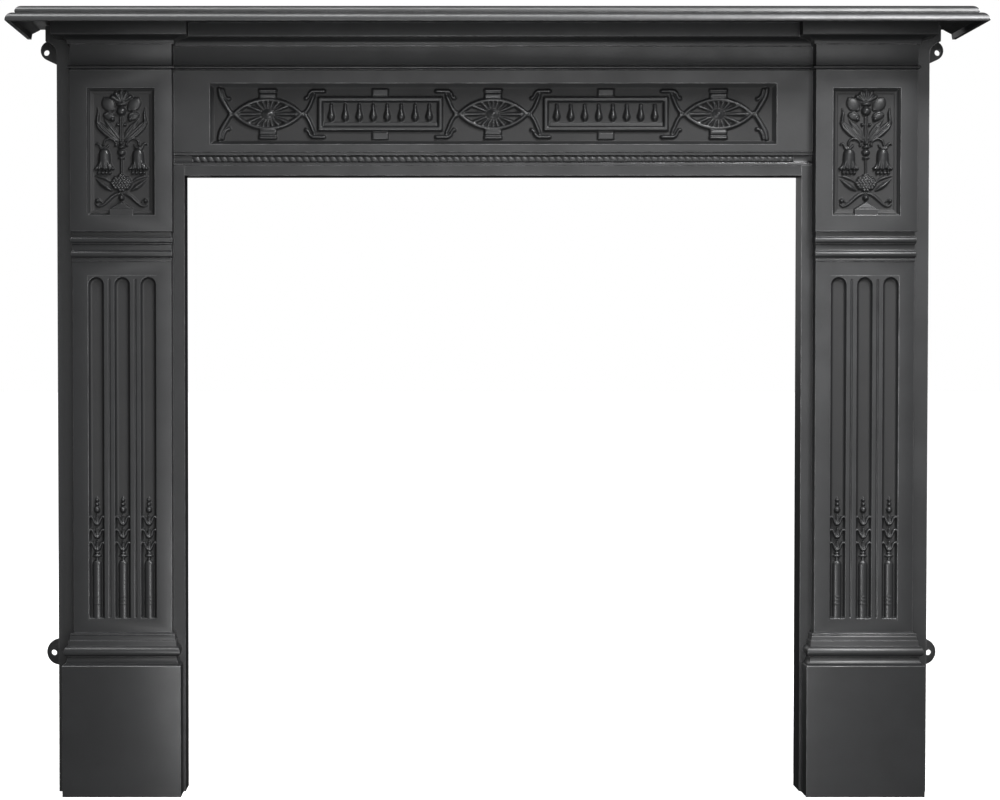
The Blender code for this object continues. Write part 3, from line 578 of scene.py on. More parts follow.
@dataclass
class Sizes:
    """Sizes that several castings share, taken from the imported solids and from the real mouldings."""

    wall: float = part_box("left_jamb")[1].y
    jamb_top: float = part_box("left_jamb")[1].z
    opening_half: float = 0.470
    opening_height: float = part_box("frieze")[0].z
    iron: float = 0.007
    gap: float = 0.0003
    cornice_reach: float = 0.025
    fascia: float = 0.0207
    cove: float = 0.012
    arris: float = 0.0005

    def cornice(self, profile: Profile, band_foot: float) -> Profile:
        """Adds a cornice to an outline: a bead, a plain band, a cove and a fascia.

        Args:
            profile: The outline so far; it ends at the bead's foot with a reach of 0.
            band_foot: The height of the plain band's foot.

        Returns:
            The outline up to the flat under the shelf.
        """
        bead, top = 0.0042, self.jamb_top
        profile.line(band_foot - 0.0064, -bead / 4).line(band_foot - 0.0056, -bead / 4)
        profile.line(band_foot - 0.0054, bead * 0.3).swell(band_foot - 0.0008, bead * 0.3, bead * 0.7, 8)
        profile.line(band_foot - 0.0006, 0.0)
        band_top = top - self.fascia - self.cove
        profile.line(band_top, 0.0).line(band_top + 0.0003, 0.0032).line(band_top + 0.0028, 0.0034)
        fascia_foot = top - self.fascia
        profile.quarter(fascia_foot - 0.0014, self.cornice_reach - 0.0050, hollow=True)
        profile.line(fascia_foot - 0.0012, self.cornice_reach - 0.0016)
        profile.line(fascia_foot, self.cornice_reach - 0.0004)
        profile.line(fascia_foot + 0.0010, self.cornice_reach).line(top, self.cornice_reach)
        return profile


SIZES = Sizes()


@dataclass
class Shelf:
    """The mantel shelf: a plate with a moulded rim round three sides, hollow underneath."""

    node: str = "shelf"
    rim: float = 0.025
    plate: float = 0.010
    nose_height: float = 0.0135
    nose_step: float = 0.0115
    shoulder: float = 0.0120
    rim_wall: float = 0.008

    def __post_init__(self) -> None:
        """Takes the overall size from the solid."""
        low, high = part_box(self.node)
        self.half, self.depth = high.x, high.y - low.y
        self.top, self.back = high.z, high.y

    def outline(self) -> list[Point]:
        """Gives the rim's height and inset, from under its nose to its flat top."""
        foot, arris = self.top - self.rim, 0.0012
        profile = Profile(foot, arris).line(foot + arris * 0.3, arris * 0.3).line(foot + arris, 0.0)
        groove = foot + self.nose_height
        profile.quarter(groove, self.nose_step, hollow=True, steps=12)
        profile.line(groove + 0.0004, self.nose_step + 0.0016).line(groove + 0.0014, self.nose_step + 0.0016)
        profile.line(groove + 0.0016, self.nose_step + 0.0006)
        profile.quarter(self.top, self.nose_step + self.shoulder, hollow=True, steps=10)
        return profile.points

    def build(self) -> bpy.types.Object:
        """Models the shelf and hollows it from below.

        Returns:
            The casting.
        """
        levels = [(up, self.half - inset, self.depth - inset) for up, inset in self.outline()]
        shelf = Workbench.draw_up("shelf_casting", 0.0, self.back, levels, 0.0)
        foot, inner_top = self.top - self.rim, self.top - self.plate
        hollow = []
        behind = 0.003
        for up, inset in (
            (foot - 0.002, self.rim_wall * 0.8),
            (foot + self.nose_height * 0.6, self.rim_wall),
            (inner_top - 0.002, self.rim_wall * 2.2),
            (inner_top, self.rim_wall * 2.6),
        ):
            hollow.append((up, self.half - inset, self.depth - inset + behind))
        cutter = Workbench.draw_up("shelf_hollow", 0.0, self.back + behind, hollow, 0.0)
        Workbench.combine(shelf, cutter, Cut.REMOVE)
        Workbench.shade(shelf)
        return shelf


@dataclass
class Frieze:
    """The lintel between the jambs: lip, rope, carved panel and cornice."""

    node: str = "frieze"
    depth: float = 0.052
    lip_depth: float = 0.048
    lip_height: float = 0.016
    rope_band: float = 0.019
    cornice_height: float = 0.0692
    panel_side: float = 0.0557
    panel_foot: float = 0.012
    panel_head: float = 0.019
    sink_mm: float = 8.0
    rope_radius: float = 0.0053
    rope_turn: float = 0.0104
    rope_end: float = 0.012
    pitch_mm: float = 0.98
    lens_places_mm: tuple[float, ...] = (0.0, 343.0)
    lens_half_mm: Point = (55.8, 25.3)
    tablet_place_mm: float = 171.7
    tablet_half_mm: Point = (95.0, 25.9)

    def __post_init__(self) -> None:
        """Works out the heights that follow from the solid and the named sizes."""
        self.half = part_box(self.node)[1].x
        self.lip_top = SIZES.opening_height + self.lip_height
        self.field_foot = self.lip_top + self.rope_band
        self.field_top = SIZES.jamb_top - self.cornice_height
        self.panel_low = self.field_foot + self.panel_foot
        self.panel_high = self.field_top - self.panel_head
        self.panel_half = self.half - self.panel_side
        self.rope_middle = self.lip_top + self.rope_band / 2

    def section(self) -> list[Point]:
        """Gives the height and depth of the frieze's front, from the opening to the shelf."""
        rope_back = self.depth - 0.0075
        profile = Profile(SIZES.opening_height, self.lip_depth)
        profile.line(self.lip_top - 0.0012, self.lip_depth)
        profile.line(self.lip_top - 0.0008, self.lip_depth + 0.0008)
        profile.line(self.lip_top + 0.0032, self.lip_depth + 0.0008)
        profile.line(self.lip_top + 0.0038, rope_back + 0.0005)
        profile.swell(self.field_foot - 0.0048, rope_back + 0.0005, -0.0012, 5)
        fillet = self.depth - 0.0020
        profile.line(self.field_foot - 0.0044, fillet).line(self.field_foot - 0.0004, fillet)
        profile.line(self.field_foot + 0.0004, self.depth).line(self.field_top, self.depth)
        cornice = SIZES.cornice(Profile(self.field_top + 0.0004, 0.0), self.field_top + 0.0080)
        profile.points += [(up, self.depth + reach) for up, reach in cornice.points]
        return profile.eased(SIZES.arris)

    def build_body(self) -> bpy.types.Object:
        """Models the lintel without its carving, hollow behind and open at its panel."""
        spare, past = 0.012, 0.01
        levels = [(up, self.half + spare, depth) for up, depth in self.section()]
        body = Workbench.draw_up("frieze_casting", 0.0, SIZES.wall, levels, 0.0)
        deep = SIZES.wall + past
        reach = SIZES.opening_half - SIZES.gap
        foot = SIZES.opening_height - past
        for side in (-1, 1):
            left, right = sorted((side * reach, side * (self.half + 0.03)))
            Workbench.cut_box(body, (left, -0.02, foot), (right, deep, self.lip_top))
        inner = self.half - SIZES.iron
        front = SIZES.wall - self.depth + self.sink_mm * MM + SIZES.iron
        low, high = self.lip_top + SIZES.iron, SIZES.jamb_top - SIZES.iron
        Workbench.cut_box(body, (-inner, front, low), (inner, deep, high))
        cornice_inner = inner - SIZES.cornice_reach
        cornice_front = SIZES.wall - self.depth + SIZES.iron
        Workbench.cut_box(
            body,
            (-cornice_inner, cornice_front, self.field_top + 0.010),
            (cornice_inner, deep - 0.001, high - 0.001),
        )
        Workbench.cut_box(
            body,
            (-self.panel_half, SIZES.wall - self.depth - past, self.panel_low),
            (self.panel_half, front + 0.001, self.panel_high),
        )
        return body

    def lens(self, carving: Carving, place: float) -> None:
        """Carves a pointed oval with its rosette, its blocks and its crossings.

        Args:
            carving: The panel's relief.
            place: The oval's middle, in millimetres across.
        """
        half, rise = self.lens_half_mm
        rim, rim_height = 7.2, 6.0
        radius = (half * half + rise * rise) / (2 * rise)
        part = carving.window((place - half - 1, -rise - 1), (place + half + 1, rise + 1))
        u, v = carving.u[part] - place, carving.v[part]
        depth = radius - np.hypot(u, np.abs(v) + radius - rise)
        band = np.clip(depth / rim, 0.0, 1.0)
        on_rim = (depth > 0) & (depth < rim)
        carving.raise_to(part, np.where(on_rim, rim_height * section_rise(band * 2 - 1, Section.STRAP), 0.0))
        self.rosette(carving, place, (half - rim - 3.2, rise - rim + 0.4))
        for turn in (-1, 1):
            for low, high, wide, height, slope in (
                (24.4, 31.6, 13.2, 5.6, 1.1),
                (33.2, 38.4, 13.9, 5.0, 1.1),
                (30.0, 35.0, 12.4, 2.6, 0.8),
            ):
                foot, head = sorted((turn * low, turn * high))
                carving.tile((place - wide, foot), (place + wide, head), height, slope)

    def rosette(self, carving: Carving, place: float, reach: Point) -> None:
        """Carves a rosette of petals that stretch to fill an oval.

        Args:
            carving: The panel's relief.
            place: The rosette's middle, in millimetres across.
            reach: How far the petals reach across and up.
        """
        petals, boss, boss_height = 16, (10.2, 8.2), 7.2
        for i in range(petals):
            angle = math.tau * i / petals
            cos, sin = math.cos(angle), math.sin(angle)
            tip = 1 / math.hypot(cos / reach[0], sin / reach[1])
            root = 1 / math.hypot(cos / boss[0], sin / boss[1]) * 0.8
            wide = 5.0 + 1.6 * abs(cos) ** 4
            points = [(place + cos * r, sin * r) for r in (root, (root + tip) / 2, tip - wide * 0.36)]
            carving.stroke(points, (2.2, wide * 0.78, wide), (4.0, 5.2, 5.2), Section.FULL)
        ring = carving.window((place - 14, -12), (place + 14, 12))
        u, v = carving.u[ring] - place, carving.v[ring]
        out = np.hypot(u / boss[0], v / boss[1])
        groove = np.clip((out - 1.0) / 0.16, 0.0, 1.0)
        sunk = np.minimum(carving.height[ring], 0.8 + 3.4 * groove)
        carving.height[ring] = np.where(out < 1.16, sunk, carving.height[ring])
        carving.boss((place, 0.0), boss, boss_height * 0.72, flatness=0.35)
        carving.boss((place, 0.0), (6.6, 5.4), boss_height)

    def tablet(self, carving: Carving, place: float) -> None:
        """Carves a framed tablet with its row of drops.

        Args:
            carving: The panel's relief.
            place: The tablet's middle, in millimetres across.
        """
        half, rise = self.tablet_half_mm
        bar, top, ground = 8.6, 6.6, 0.7
        part = carving.window((place - half, -rise), (place + half, rise))
        u, v = np.abs(carving.u[part] - place), np.abs(carving.v[part])
        edge = np.minimum(half - u, rise - v)
        profile_at = (0.0, 0.3, 1.1, 5.9, 6.6, 8.0, bar)
        profile_rise = (0.0, top * 0.7, top, top, top * 0.80, ground + 0.9, ground)
        carving.raise_to(part, np.interp(edge, profile_at, profile_rise))
        inner_half, inner_rise = half - bar, rise - bar
        sill_foot, sill_head = -inner_rise - 2.0, -inner_rise + 5.4
        carving.tile((place - inner_half, sill_foot), (place + inner_half, sill_head), 2.4, 0.9)
        drops, pitch = 8, 21.3
        ups = (15.3, 13.0, 9.0, 3.0, -2.4, -6.2, -8.6)
        widths = (3.0, 4.8, 3.8, 7.2, 10.6, 10.2, 6.2)
        heights = (4.0, 5.4, 5.0, 6.4, 7.8, 7.4, 5.4)
        for i in range(drops):
            across = place + pitch * (i - (drops - 1) / 2)
            carving.stroke([(across, up) for up in ups], widths, heights, Section.FULL)
        for turn in (-1, 1):
            low, high = sorted((turn * (rise + 1.0), turn * 39.2))
            carving.tile((place - 12.8, low), (place + 12.8, high), 3.6, 2.0)
        for side in (-1, 1):
            self.bracket(carving, place + side * half, side)

    def bracket(self, carving: Carving, edge: float, side: int) -> None:
        """Carves the stepped brackets at a tablet's end and the straps that reach the rosette's point.

        Args:
            carving: The panel's relief.
            edge: The tablet's end, in millimetres across.
            side: Which way the rosette lies.
        """
        tip = edge + side * 21.0
        for turn in (-1, 1):
            points = [(tip, 0.0), (edge + side * 14.0, turn * 9.5), (edge + side * 6.6, turn * 26.5)]
            carving.stroke(points, (6.4, 6.0, 5.6), 5.6, Section.STRAP)
            level = turn * 34.6
            bar = [(edge - side * 9.5, level), (edge + side * 7.0, level)]
            carving.stroke(bar, (6.0, 6.0), 5.8, Section.STRAP)
            drop = [(edge + side * 8.0, level), (edge + side * 12.2, turn * 31.6)]
            drop += [(edge + side * 14.0, turn * 27.0), (edge + side * 17.0, turn * 23.6)]
            carving.stroke(drop, (6.0, 5.2, 4.6, 4.0), 5.6, Section.STRAP)
            post = [(edge + side * 5.2, level), (edge + side * 6.2, turn * 25.0)]
            carving.stroke(post, (4.2, 4.2), 4.2, Section.STRAP)
            carving.bead((edge + side * 17.8, turn * 24.0), 3.1, 5.4)
        carving.boss((tip, 0.0), (5.0, 5.0), 5.4, flatness=0.3)

    def end_straps(self, carving: Carving, side: int) -> None:
        """Carves the forked straps and hooks at one end of the panel."""
        tip = self.lens_places_mm[-1] + self.lens_half_mm[0]
        for turn in (-1, 1):
            horn = [(tip - 0.5, 0.0), (tip + 5.0, turn * 8.0), (tip + 11.0, turn * 18.0)]
            horn += [(tip + 15.6, turn * 27.0), (tip + 18.0, turn * 38.0)]
            carving.stroke([(side * u, v) for u, v in horn], (6.4, 7.2, 8.2, 8.0, 7.0), 5.8, Section.STRAP)
            hook = [(tip + 12.6, turn * 38.0), (tip + 10.6, turn * 30.0), (tip + 7.0, turn * 24.0)]
            hook.append((tip + 4.0, turn * 22.4))
            carving.stroke([(side * u, v) for u, v in hook], (4.0, 4.6, 4.4, 4.0), 5.4, Section.STRAP)
            carving.bead((side * (tip + 3.4), turn * 22.8), 3.0, 5.4)
        carving.boss((side * (tip - 0.5), 0.0), (5.4, 5.0), 5.4, flatness=0.3)

    def build_carving(self) -> bpy.types.Object:
        """Carves the long panel.

        Returns:
            The panel as a closed slab that fills the body's window.
        """
        wide, tall = self.panel_half / MM, (self.panel_high - self.panel_low) / MM / 2
        across = np.linspace(-wide, wide, round(2 * wide / self.pitch_mm) + 1)
        up = np.linspace(-tall, tall, round(2 * tall / self.pitch_mm) + 1)
        carving = Carving(across, up)
        for side in (-1, 1):
            self.tablet(carving, side * self.tablet_place_mm)
            self.end_straps(carving, side)
            self.lens(carving, side * self.lens_places_mm[1])
        self.lens(carving, self.lens_places_mm[0])
        for place in (-self.lens_places_mm[1], 0.0, self.lens_places_mm[1]):
            for side in (-1, 1):
                self.dimple(carving, place + side * (self.lens_half_mm[0] - 0.4))
        carving.soften()
        edge = np.minimum(wide - np.abs(carving.u), tall - np.abs(carving.v))
        step_at = (0.0, 0.5, 1.0, 2.4, 3.0, 4.6, 5.2, 6.0)
        step_rise = (8.0, 7.6, 5.6, 5.4, 2.4, 2.1, 0.3, 0.0)
        frame_rise = np.interp(edge, step_at, step_rise)
        rise = np.maximum(frame_rise, carving.height)
        rise[edge < 1e-6] = self.sink_mm
        front = SIZES.wall - self.depth + (self.sink_mm - rise) * MM
        middle = (self.panel_low + self.panel_high) / 2
        back = SIZES.wall - self.depth + self.sink_mm * MM + SIZES.iron
        return Workbench.sheet("frieze_carving", across * MM, middle + up * MM, front, back)

    def dimple(self, carving: Carving, place: float) -> None:
        """Sinks the small hole at a crossing of straps."""
        part = carving.window((place - 3, -3), (place + 3, 3))
        away = np.hypot(carving.u[part] - place, carving.v[part])
        carving.height[part] -= 2.2 * np.clip(1 - (away / 1.9) ** 2, 0.0, 1.0)

    def build_rope(self) -> bpy.types.Object:
        """Models the rope as a half-round bar, its strands cut by slanted grooves.

        Returns:
            The rope as a closed bar let into the frieze.
        """
        reach = SIZES.opening_half - self.rope_end
        turns = round(2 * reach / self.rope_turn)
        turn = 2 * reach / turns
        across = np.linspace(-reach, reach, turns * 10 + 1)
        around = np.radians(np.linspace(-80.0, 80.0, 15))
        slant = 0.5
        up = self.rope_middle + self.rope_radius * np.sin(around)
        x, theta = np.meshgrid(across, around)
        z = self.rope_radius * np.sin(theta)
        phase = math.pi * (x + slant * z) / turn
        strand = 1.0 - 0.50 * (1.0 - np.abs(np.sin(phase))) ** 1.3
        axis = SIZES.wall - self.depth + 0.0078
        front = axis - self.rope_radius * 0.56 * np.cos(theta) ** 0.8 * strand
        return Workbench.sheet("frieze_rope", across, up, front, axis + 0.0035)


@dataclass
class CapitalPanel:
    """The upright carved panel of a capital, drawn in millimetres from its middle line and its foot."""

    half_mm: float = 51.0
    height_mm: float = 192.0
    sink_mm: float = 9.0
    pitch_mm: float = 0.70
    frame_at_mm: tuple[float, ...] = (0.0, 0.2, 0.9, 2.1, 2.8, 3.6, 4.9, 6.4, 7.6, 8.3, 9.0, 10.0)
    frame_rise_mm: tuple[float, ...] = (9.0, 8.8, 5.6, 5.4, 3.4, 2.3, 1.6, 1.2, 1.1, 0.3, 0.1, 0.0)

    def carve(self) -> tuple[Carving, np.ndarray]:
        """Carves the candelabrum and its frame.

        Returns:
            The relief and the rise above its ground, frame included.
        """
        columns, rows = round(2 * self.half_mm / self.pitch_mm), round(self.height_mm / self.pitch_mm)
        across = np.linspace(-self.half_mm, self.half_mm, columns + 1)
        carving = Carving(across, np.linspace(0.0, self.height_mm, rows + 1))
        self.pedestal(carving)
        self.legs(carving)
        self.berries(carving)
        self.stem(carving)
        self.bell(carving)
        self.blades(carving)
        self.crown(carving)
        carving.mirror()
        carving.soften()
        edge = np.minimum(self.half_mm - np.abs(carving.u), np.minimum(carving.v, self.height_mm - carving.v))
        rise = np.maximum(np.interp(edge, self.frame_at_mm, self.frame_rise_mm), carving.height)
        block = (np.abs(carving.u) <= 18.0) & (carving.v <= 10.5)
        rise[block] = self.sink_mm - 0.25
        rise[edge < 1e-6] = self.sink_mm
        return carving, rise

    def pedestal(self, carving: Carving) -> None:
        """Carves the gable on the block that carries the candelabrum, and its ball."""
        part = carving.window((-17.0, 10.0), (17.0, 21.0))
        u, v = np.abs(carving.u[part]), carving.v[part]
        gable = (v >= 10.0) & (u / 17.0 + (v - 10.5) / 10.5 <= 1.0)
        carving.raise_to(part, np.where(gable, 8.4 - 0.16 * (v - 10.0), 0.0))
        carving.bead((0.0, 27.2), 4.5, 7.0)
        carving.bead((0.0, 33.4), 1.9, 4.6)

    def legs(self, carving: Carving) -> None:
        """Carves a scrolled leg with the leaves above it."""
        leg = [(3.0, 33.5), (9.0, 32.0), (16.0, 27.0), (23.0, 20.5), (29.0, 15.6), (34.5, 14.2), (38.6, 17.0)]
        widths, heights = (5.0, 6.4, 6.6, 5.6, 4.2, 3.4, 2.6), (3.6, 4.4, 4.6, 4.4, 4.2, 4.0, 3.6)
        carving.stroke(leg, widths, heights, Section.KEEL)
        carving.bead((36.6, 22.4), 3.0, 6.2)
        carving.stroke([(30.0, 20.0), (33.5, 23.5), (36.0, 25.4)], (1.6, 2.4, 2.0), 3.2)
        low_leaf = [(15.0, 38.0), (22.0, 42.6), (30.0, 48.4), (38.6, 55.4)]
        carving.stroke(low_leaf, (3.0, 8.6, 8.0, 0.6), (3.6, 6.0, 5.0, 2.6), Section.KEEL)
        high_leaf = [(16.0, 51.0), (24.0, 56.0), (32.0, 58.6), (40.0, 59.6)]
        carving.stroke(high_leaf, (2.6, 5.0, 4.4, 0.8), (3.6, 4.8, 4.4, 2.8), Section.RIBBED)

    def berries(self, carving: Carving) -> None:
        """Carves the heap of berries above the legs."""
        middle, half = (0.0, 49.2), (16.4, 12.2)
        carving.boss(middle, half, 5.0, flatness=0.4)
        pitch, radius = 4.7, 2.55
        for row in range(-3, 4):
            for step in range(5):
                across = pitch * (step + (0.5 if row % 2 else 0.0))
                up = middle[1] + row * pitch * 0.80
                out = (across / half[0]) ** 2 + ((up - middle[1]) / half[1]) ** 2
                if out < 0.95:
                    carving.bead((across, up), radius, 8.4 - 3.0 * out)

    def stem(self, carving: Carving) -> None:
        """Carves the turned stem from the berries to the crown."""
        carving.stroke([(0.0, 60.0), (0.0, 84.0)], (3.0, 3.2), 3.6)
        carving.boss((0.0, 87.0), (5.4, 2.1), 5.6)
        carving.boss((0.0, 95.4), (6.2, 5.0), 6.2)
        carving.boss((0.0, 103.4), (5.6, 2.8), 6.6)
        carving.bead((0.0, 109.4), 3.3, 6.8)
        carving.bead((8.3, 106.2), 2.1, 4.6)
        carving.stroke([(1.5, 111.0), (1.5, 149.0)], (2.8, 2.4), 3.8)
        carving.bead((5.4, 137.4), 2.5, 5.6)
        carving.bead((0.0, 157.8), 7.2, 8.0)

    def bell(self, carving: Carving) -> None:
        """Carves the bell flower, its arched stem and its stamens."""
        bell = [(25.4, 101.0), (25.4, 98.0), (25.4, 93.0), (25.5, 85.0), (25.6, 77.0), (25.7, 70.8)]
        widths, heights = (7.0, 13.4, 17.2, 17.8, 18.6, 23.0), (5.4, 8.0, 8.8, 8.2, 6.8, 5.0)
        carving.stroke(bell, widths, heights, Section.FULL, blunt=True)
        for lean in (-1, 0, 1):
            rib = [(25.6 + lean * 5.4, 82.0), (25.7 + lean * 6.4, 76.0), (25.7 + lean * 8.0, 71.0)]
            carving.stroke(rib, (2.4, 4.4, 5.4), (7.4, 7.8, 6.8))
        for lean in (-1, 1):
            carving.stroke([(25.6 + lean * 8.4, 78.0), (25.7 + lean * 11.4, 71.4)], (3.0, 3.6), (5.2, 6.2))
            carving.bead((25.7 + lean * 12.6, 71.2), 2.5, 6.6)
        for across in (17.4, 22.8, 28.4, 34.0):
            carving.stroke([(across, 64.6), (across + 0.2, 71.0)], (1.8, 1.8), 3.4)
            carving.bead((across, 64.6), 2.5, 6.2)
        arch = [(6.6, 107.0), (10.6, 112.4), (16.0, 115.6), (21.6, 115.4), (25.6, 112.0), (26.6, 106.6)]
        carving.stroke(arch, (2.4, 3.0, 3.2, 3.2, 3.2, 3.0), (4.4, 5.2, 5.6, 5.8, 5.8, 5.2), Section.KEEL)
        for points in (
            [(26.0, 102.0), (21.6, 103.6), (19.0, 107.0)],
            [(26.6, 102.4), (31.0, 104.6), (35.4, 108.6), (39.0, 107.2)],
            [(26.6, 101.0), (30.4, 101.2), (33.6, 104.2)],
        ):
            carving.stroke(points, (2.6, *[3.2] * (len(points) - 2), 1.2), 4.8)

    def blades(self, carving: Carving) -> None:
        """Carves the great ribbed blades that spread from the stem."""
        outer = [(5.0, 112.6), (13.0, 118.0), (22.0, 125.4), (31.0, 134.0), (36.4, 141.0)]
        carving.stroke(outer, (3.0, 9.6, 12.6, 12.0, 6.4), (4.0, 5.2, 6.0, 6.2, 5.4), Section.RIBBED)
        edge = [(7.0, 112.6), (18.0, 119.0), (28.0, 127.4), (36.0, 136.4)]
        carving.stroke(edge, (1.6, 2.8, 3.0, 1.6), (4.2, 5.6, 5.8, 4.6), Section.KEEL)
        tip = [(35.4, 139.0), (35.8, 146.0), (34.8, 154.0), (36.2, 163.6)]
        carving.stroke(tip, (6.2, 5.4, 4.2, 0.6), (5.4, 6.4, 5.6, 3.0), Section.KEEL)
        inner = [(3.6, 116.0), (10.0, 124.6), (17.0, 134.0), (25.6, 145.4)]
        carving.stroke(inner, (3.0, 9.8, 9.6, 1.2), (3.6, 5.0, 5.0, 3.0), Section.RIBBED)

    def crown(self, carving: Carving) -> None:
        """Carves the cup, its petals and the fan of leaves on top."""
        carving.boss((19.6, 168.0), (11.6, 9.4), 4.8, lean=52.0, flatness=0.35)
        petal = [(12.4, 161.0), (20.0, 168.0), (25.6, 176.4)]
        carving.stroke(petal, (6.0, 9.6, 4.0), (5.2, 6.4, 4.8), Section.CUPPED)
        carving.boss((18.4, 150.4), (9.2, 6.6), 5.0, lean=20.0, flatness=0.4)
        carving.stroke([(12.0, 152.4), (19.0, 155.4), (26.0, 152.0)], (2.4, 3.4, 2.2), 5.8)
        carving.bead((13.4, 145.6), 3.6, 7.0)
        carving.boss((0.0, 168.2), (8.4, 3.2), 7.0)
        carving.boss((0.0, 178.0), (14.6, 10.4), 3.8, flatness=0.35)
        for angle in (90.0, 60.0, 31.0):
            cos, sin = math.cos(math.radians(angle)), math.sin(math.radians(angle))
            points = [(cos * reach, 170.6 + sin * reach) for reach in (3.0, 10.0, 15.4)]
            carving.stroke(points, (3.0, 6.0, 8.0), (5.0, 6.2, 7.0))


@dataclass
class FlutedShaft:
    """The three flutes of a shaft with the reeds and husks that stand in them."""

    half_mm: float = 52.0
    flute_half_mm: float = 11.25
    flute_depth_mm: float = 7.0
    flute_pitch_mm: float = 39.5
    foot_mm: float = 268.6
    head_mm: float = 787.2
    reed_half_mm: float = 6.9
    across_pitch_mm: float = 0.76

    def rows(self) -> np.ndarray:
        """Gives the heights of the grid's rows, close together where there is carving."""
        spans = ((266.0, 275.0, 0.6), (275.0, 306.0, 0.8), (306.0, 348.0, 6.0), (348.0, 456.0, 0.85))
        spans += ((456.0, 772.0, 22.0), (772.0, 790.0, 0.8))
        rows = [np.linspace(low, high, round((high - low) / pitch) + 1)[:-1] for low, high, pitch in spans]
        return np.append(np.concatenate(rows), spans[-1][1])

    def carve(self) -> tuple[Carving, np.ndarray]:
        """Carves the flutes.

        Returns:
            The relief and the rise above the flutes' floor.
        """
        across = np.linspace(-self.half_mm, self.half_mm, round(2 * self.half_mm / self.across_pitch_mm) + 1)
        carving = Carving(across, self.rows())
        floor = np.full_like(carving.u, self.flute_depth_mm)
        for turn in (-1, 0, 1):
            middle = turn * self.flute_pitch_mm
            beside = np.abs(carving.u - middle)
            centre = self.head_mm - self.flute_half_mm
            reach = np.where(carving.v > centre, np.hypot(beside, carving.v - centre), beside)
            away = reach / self.flute_half_mm
            hollow = np.sqrt(1 - np.clip((away - 0.58) / 0.42, 0.0, 1.0) ** 2)
            sill = np.clip((carving.v - self.foot_mm) / 2.6, 0.0, 1.0)
            floor = np.minimum(floor, self.flute_depth_mm * (1 - np.where(away < 1, hollow, 0.0) * sill))
            self.reed(carving, middle)
        for turn in (-0.5, 0.5):
            beside = np.abs(carving.u - turn * self.flute_pitch_mm)
            between = (carving.v > self.foot_mm + 1.0) & (carving.v < self.head_mm - 3.0)
            quirk = self.flute_depth_mm - 1.5 * np.clip(1.6 - beside, 0, 1)
            floor = np.where(between, np.minimum(floor, quirk), floor)
        rise = np.maximum(floor, carving.height)
        edge = (np.abs(carving.u) > self.half_mm - 0.1) | (carving.v <= 266.01) | (carving.v >= 789.99)
        rise[edge] = self.flute_depth_mm
        return carving, rise

    def reed(self, carving: Carving, middle: float) -> None:
        """Carves one reed: rings, a domed cap and a chain of husks and beads.

        Args:
            carving: The shaft's relief.
            middle: The flute's middle line, in millimetres across.
        """
        wide, rise = 2 * self.reed_half_mm, self.flute_depth_mm - 0.6
        rod = [(middle, 264.0), (middle, 300.0), (middle, 350.6)]
        carving.stroke(rod, (wide, wide, wide), rise, Section.FULL)
        ring_half, ring_rise = (self.reed_half_mm + 0.6, 1.5), self.flute_depth_mm + 0.2
        for up in (290.6, 296.4, 302.2):
            carving.boss((middle, up), ring_half, ring_rise, flatness=0.45)
        carving.boss((middle, 364.2), (6.8, 2.3), 6.4, flatness=0.4)
        carving.boss((middle, 368.6), (4.4, 1.7), 5.2, flatness=0.4)
        carving.stroke([(middle, 357.0), (middle, 372.0)], (5.0, 5.0), 4.2)
        for foot in (371.6, 391.0, 410.8):
            self.husk(carving, middle, foot)
        carving.boss((middle, 434.2), (4.6, 5.2), 6.8, flatness=0.45)
        carving.bead((middle, 442.6), 3.2, 6.2)
        carving.bead((middle, 449.0), 2.8, 5.6)
        carving.stroke([(middle, 426.0), (middle, 453.0)], (2.0, 1.4), 3.0)

    @staticmethod
    def husk(carving: Carving, middle: float, foot: float) -> None:
        """Carves one husk: a bead, two curling arms and a small leaf between them.

        Args:
            carving: The shaft's relief.
            middle: The flute's middle line, in millimetres across.
            foot: The husk's foot, in millimetres up.
        """
        carving.boss((middle, foot + 1.8), (4.4, 3.0), 6.6, flatness=0.45)
        leaf = [(middle, foot + 2.0), (middle, foot + 8.0), (middle, foot + 13.6)]
        carving.stroke(leaf, (5.0, 4.4, 2.0), 4.2)
        carving.bead((middle, foot + 13.8), 1.9, 5.2)
        for side in (-1, 1):
            arm = [(1.6, 1.4), (3.8, 4.4), (5.0, 8.0), (6.8, 11.6), (9.4, 13.0), (10.6, 11.4)]
            points = [(middle + side * across, foot + up) for across, up in arm]
            carving.stroke(points, (3.6, 4.2, 3.9, 3.6, 3.3, 2.6), (5.6, 6.4, 6.4, 6.6, 6.6, 6.0))


@dataclass(frozen=True)
class Lug:
    """A drilled ear: its hole, its round edge and its root along the strip, outward and up from the floor."""

    up: float
    reach: float
    round_up: float
    round_out: float
    radius: float
    root: Point


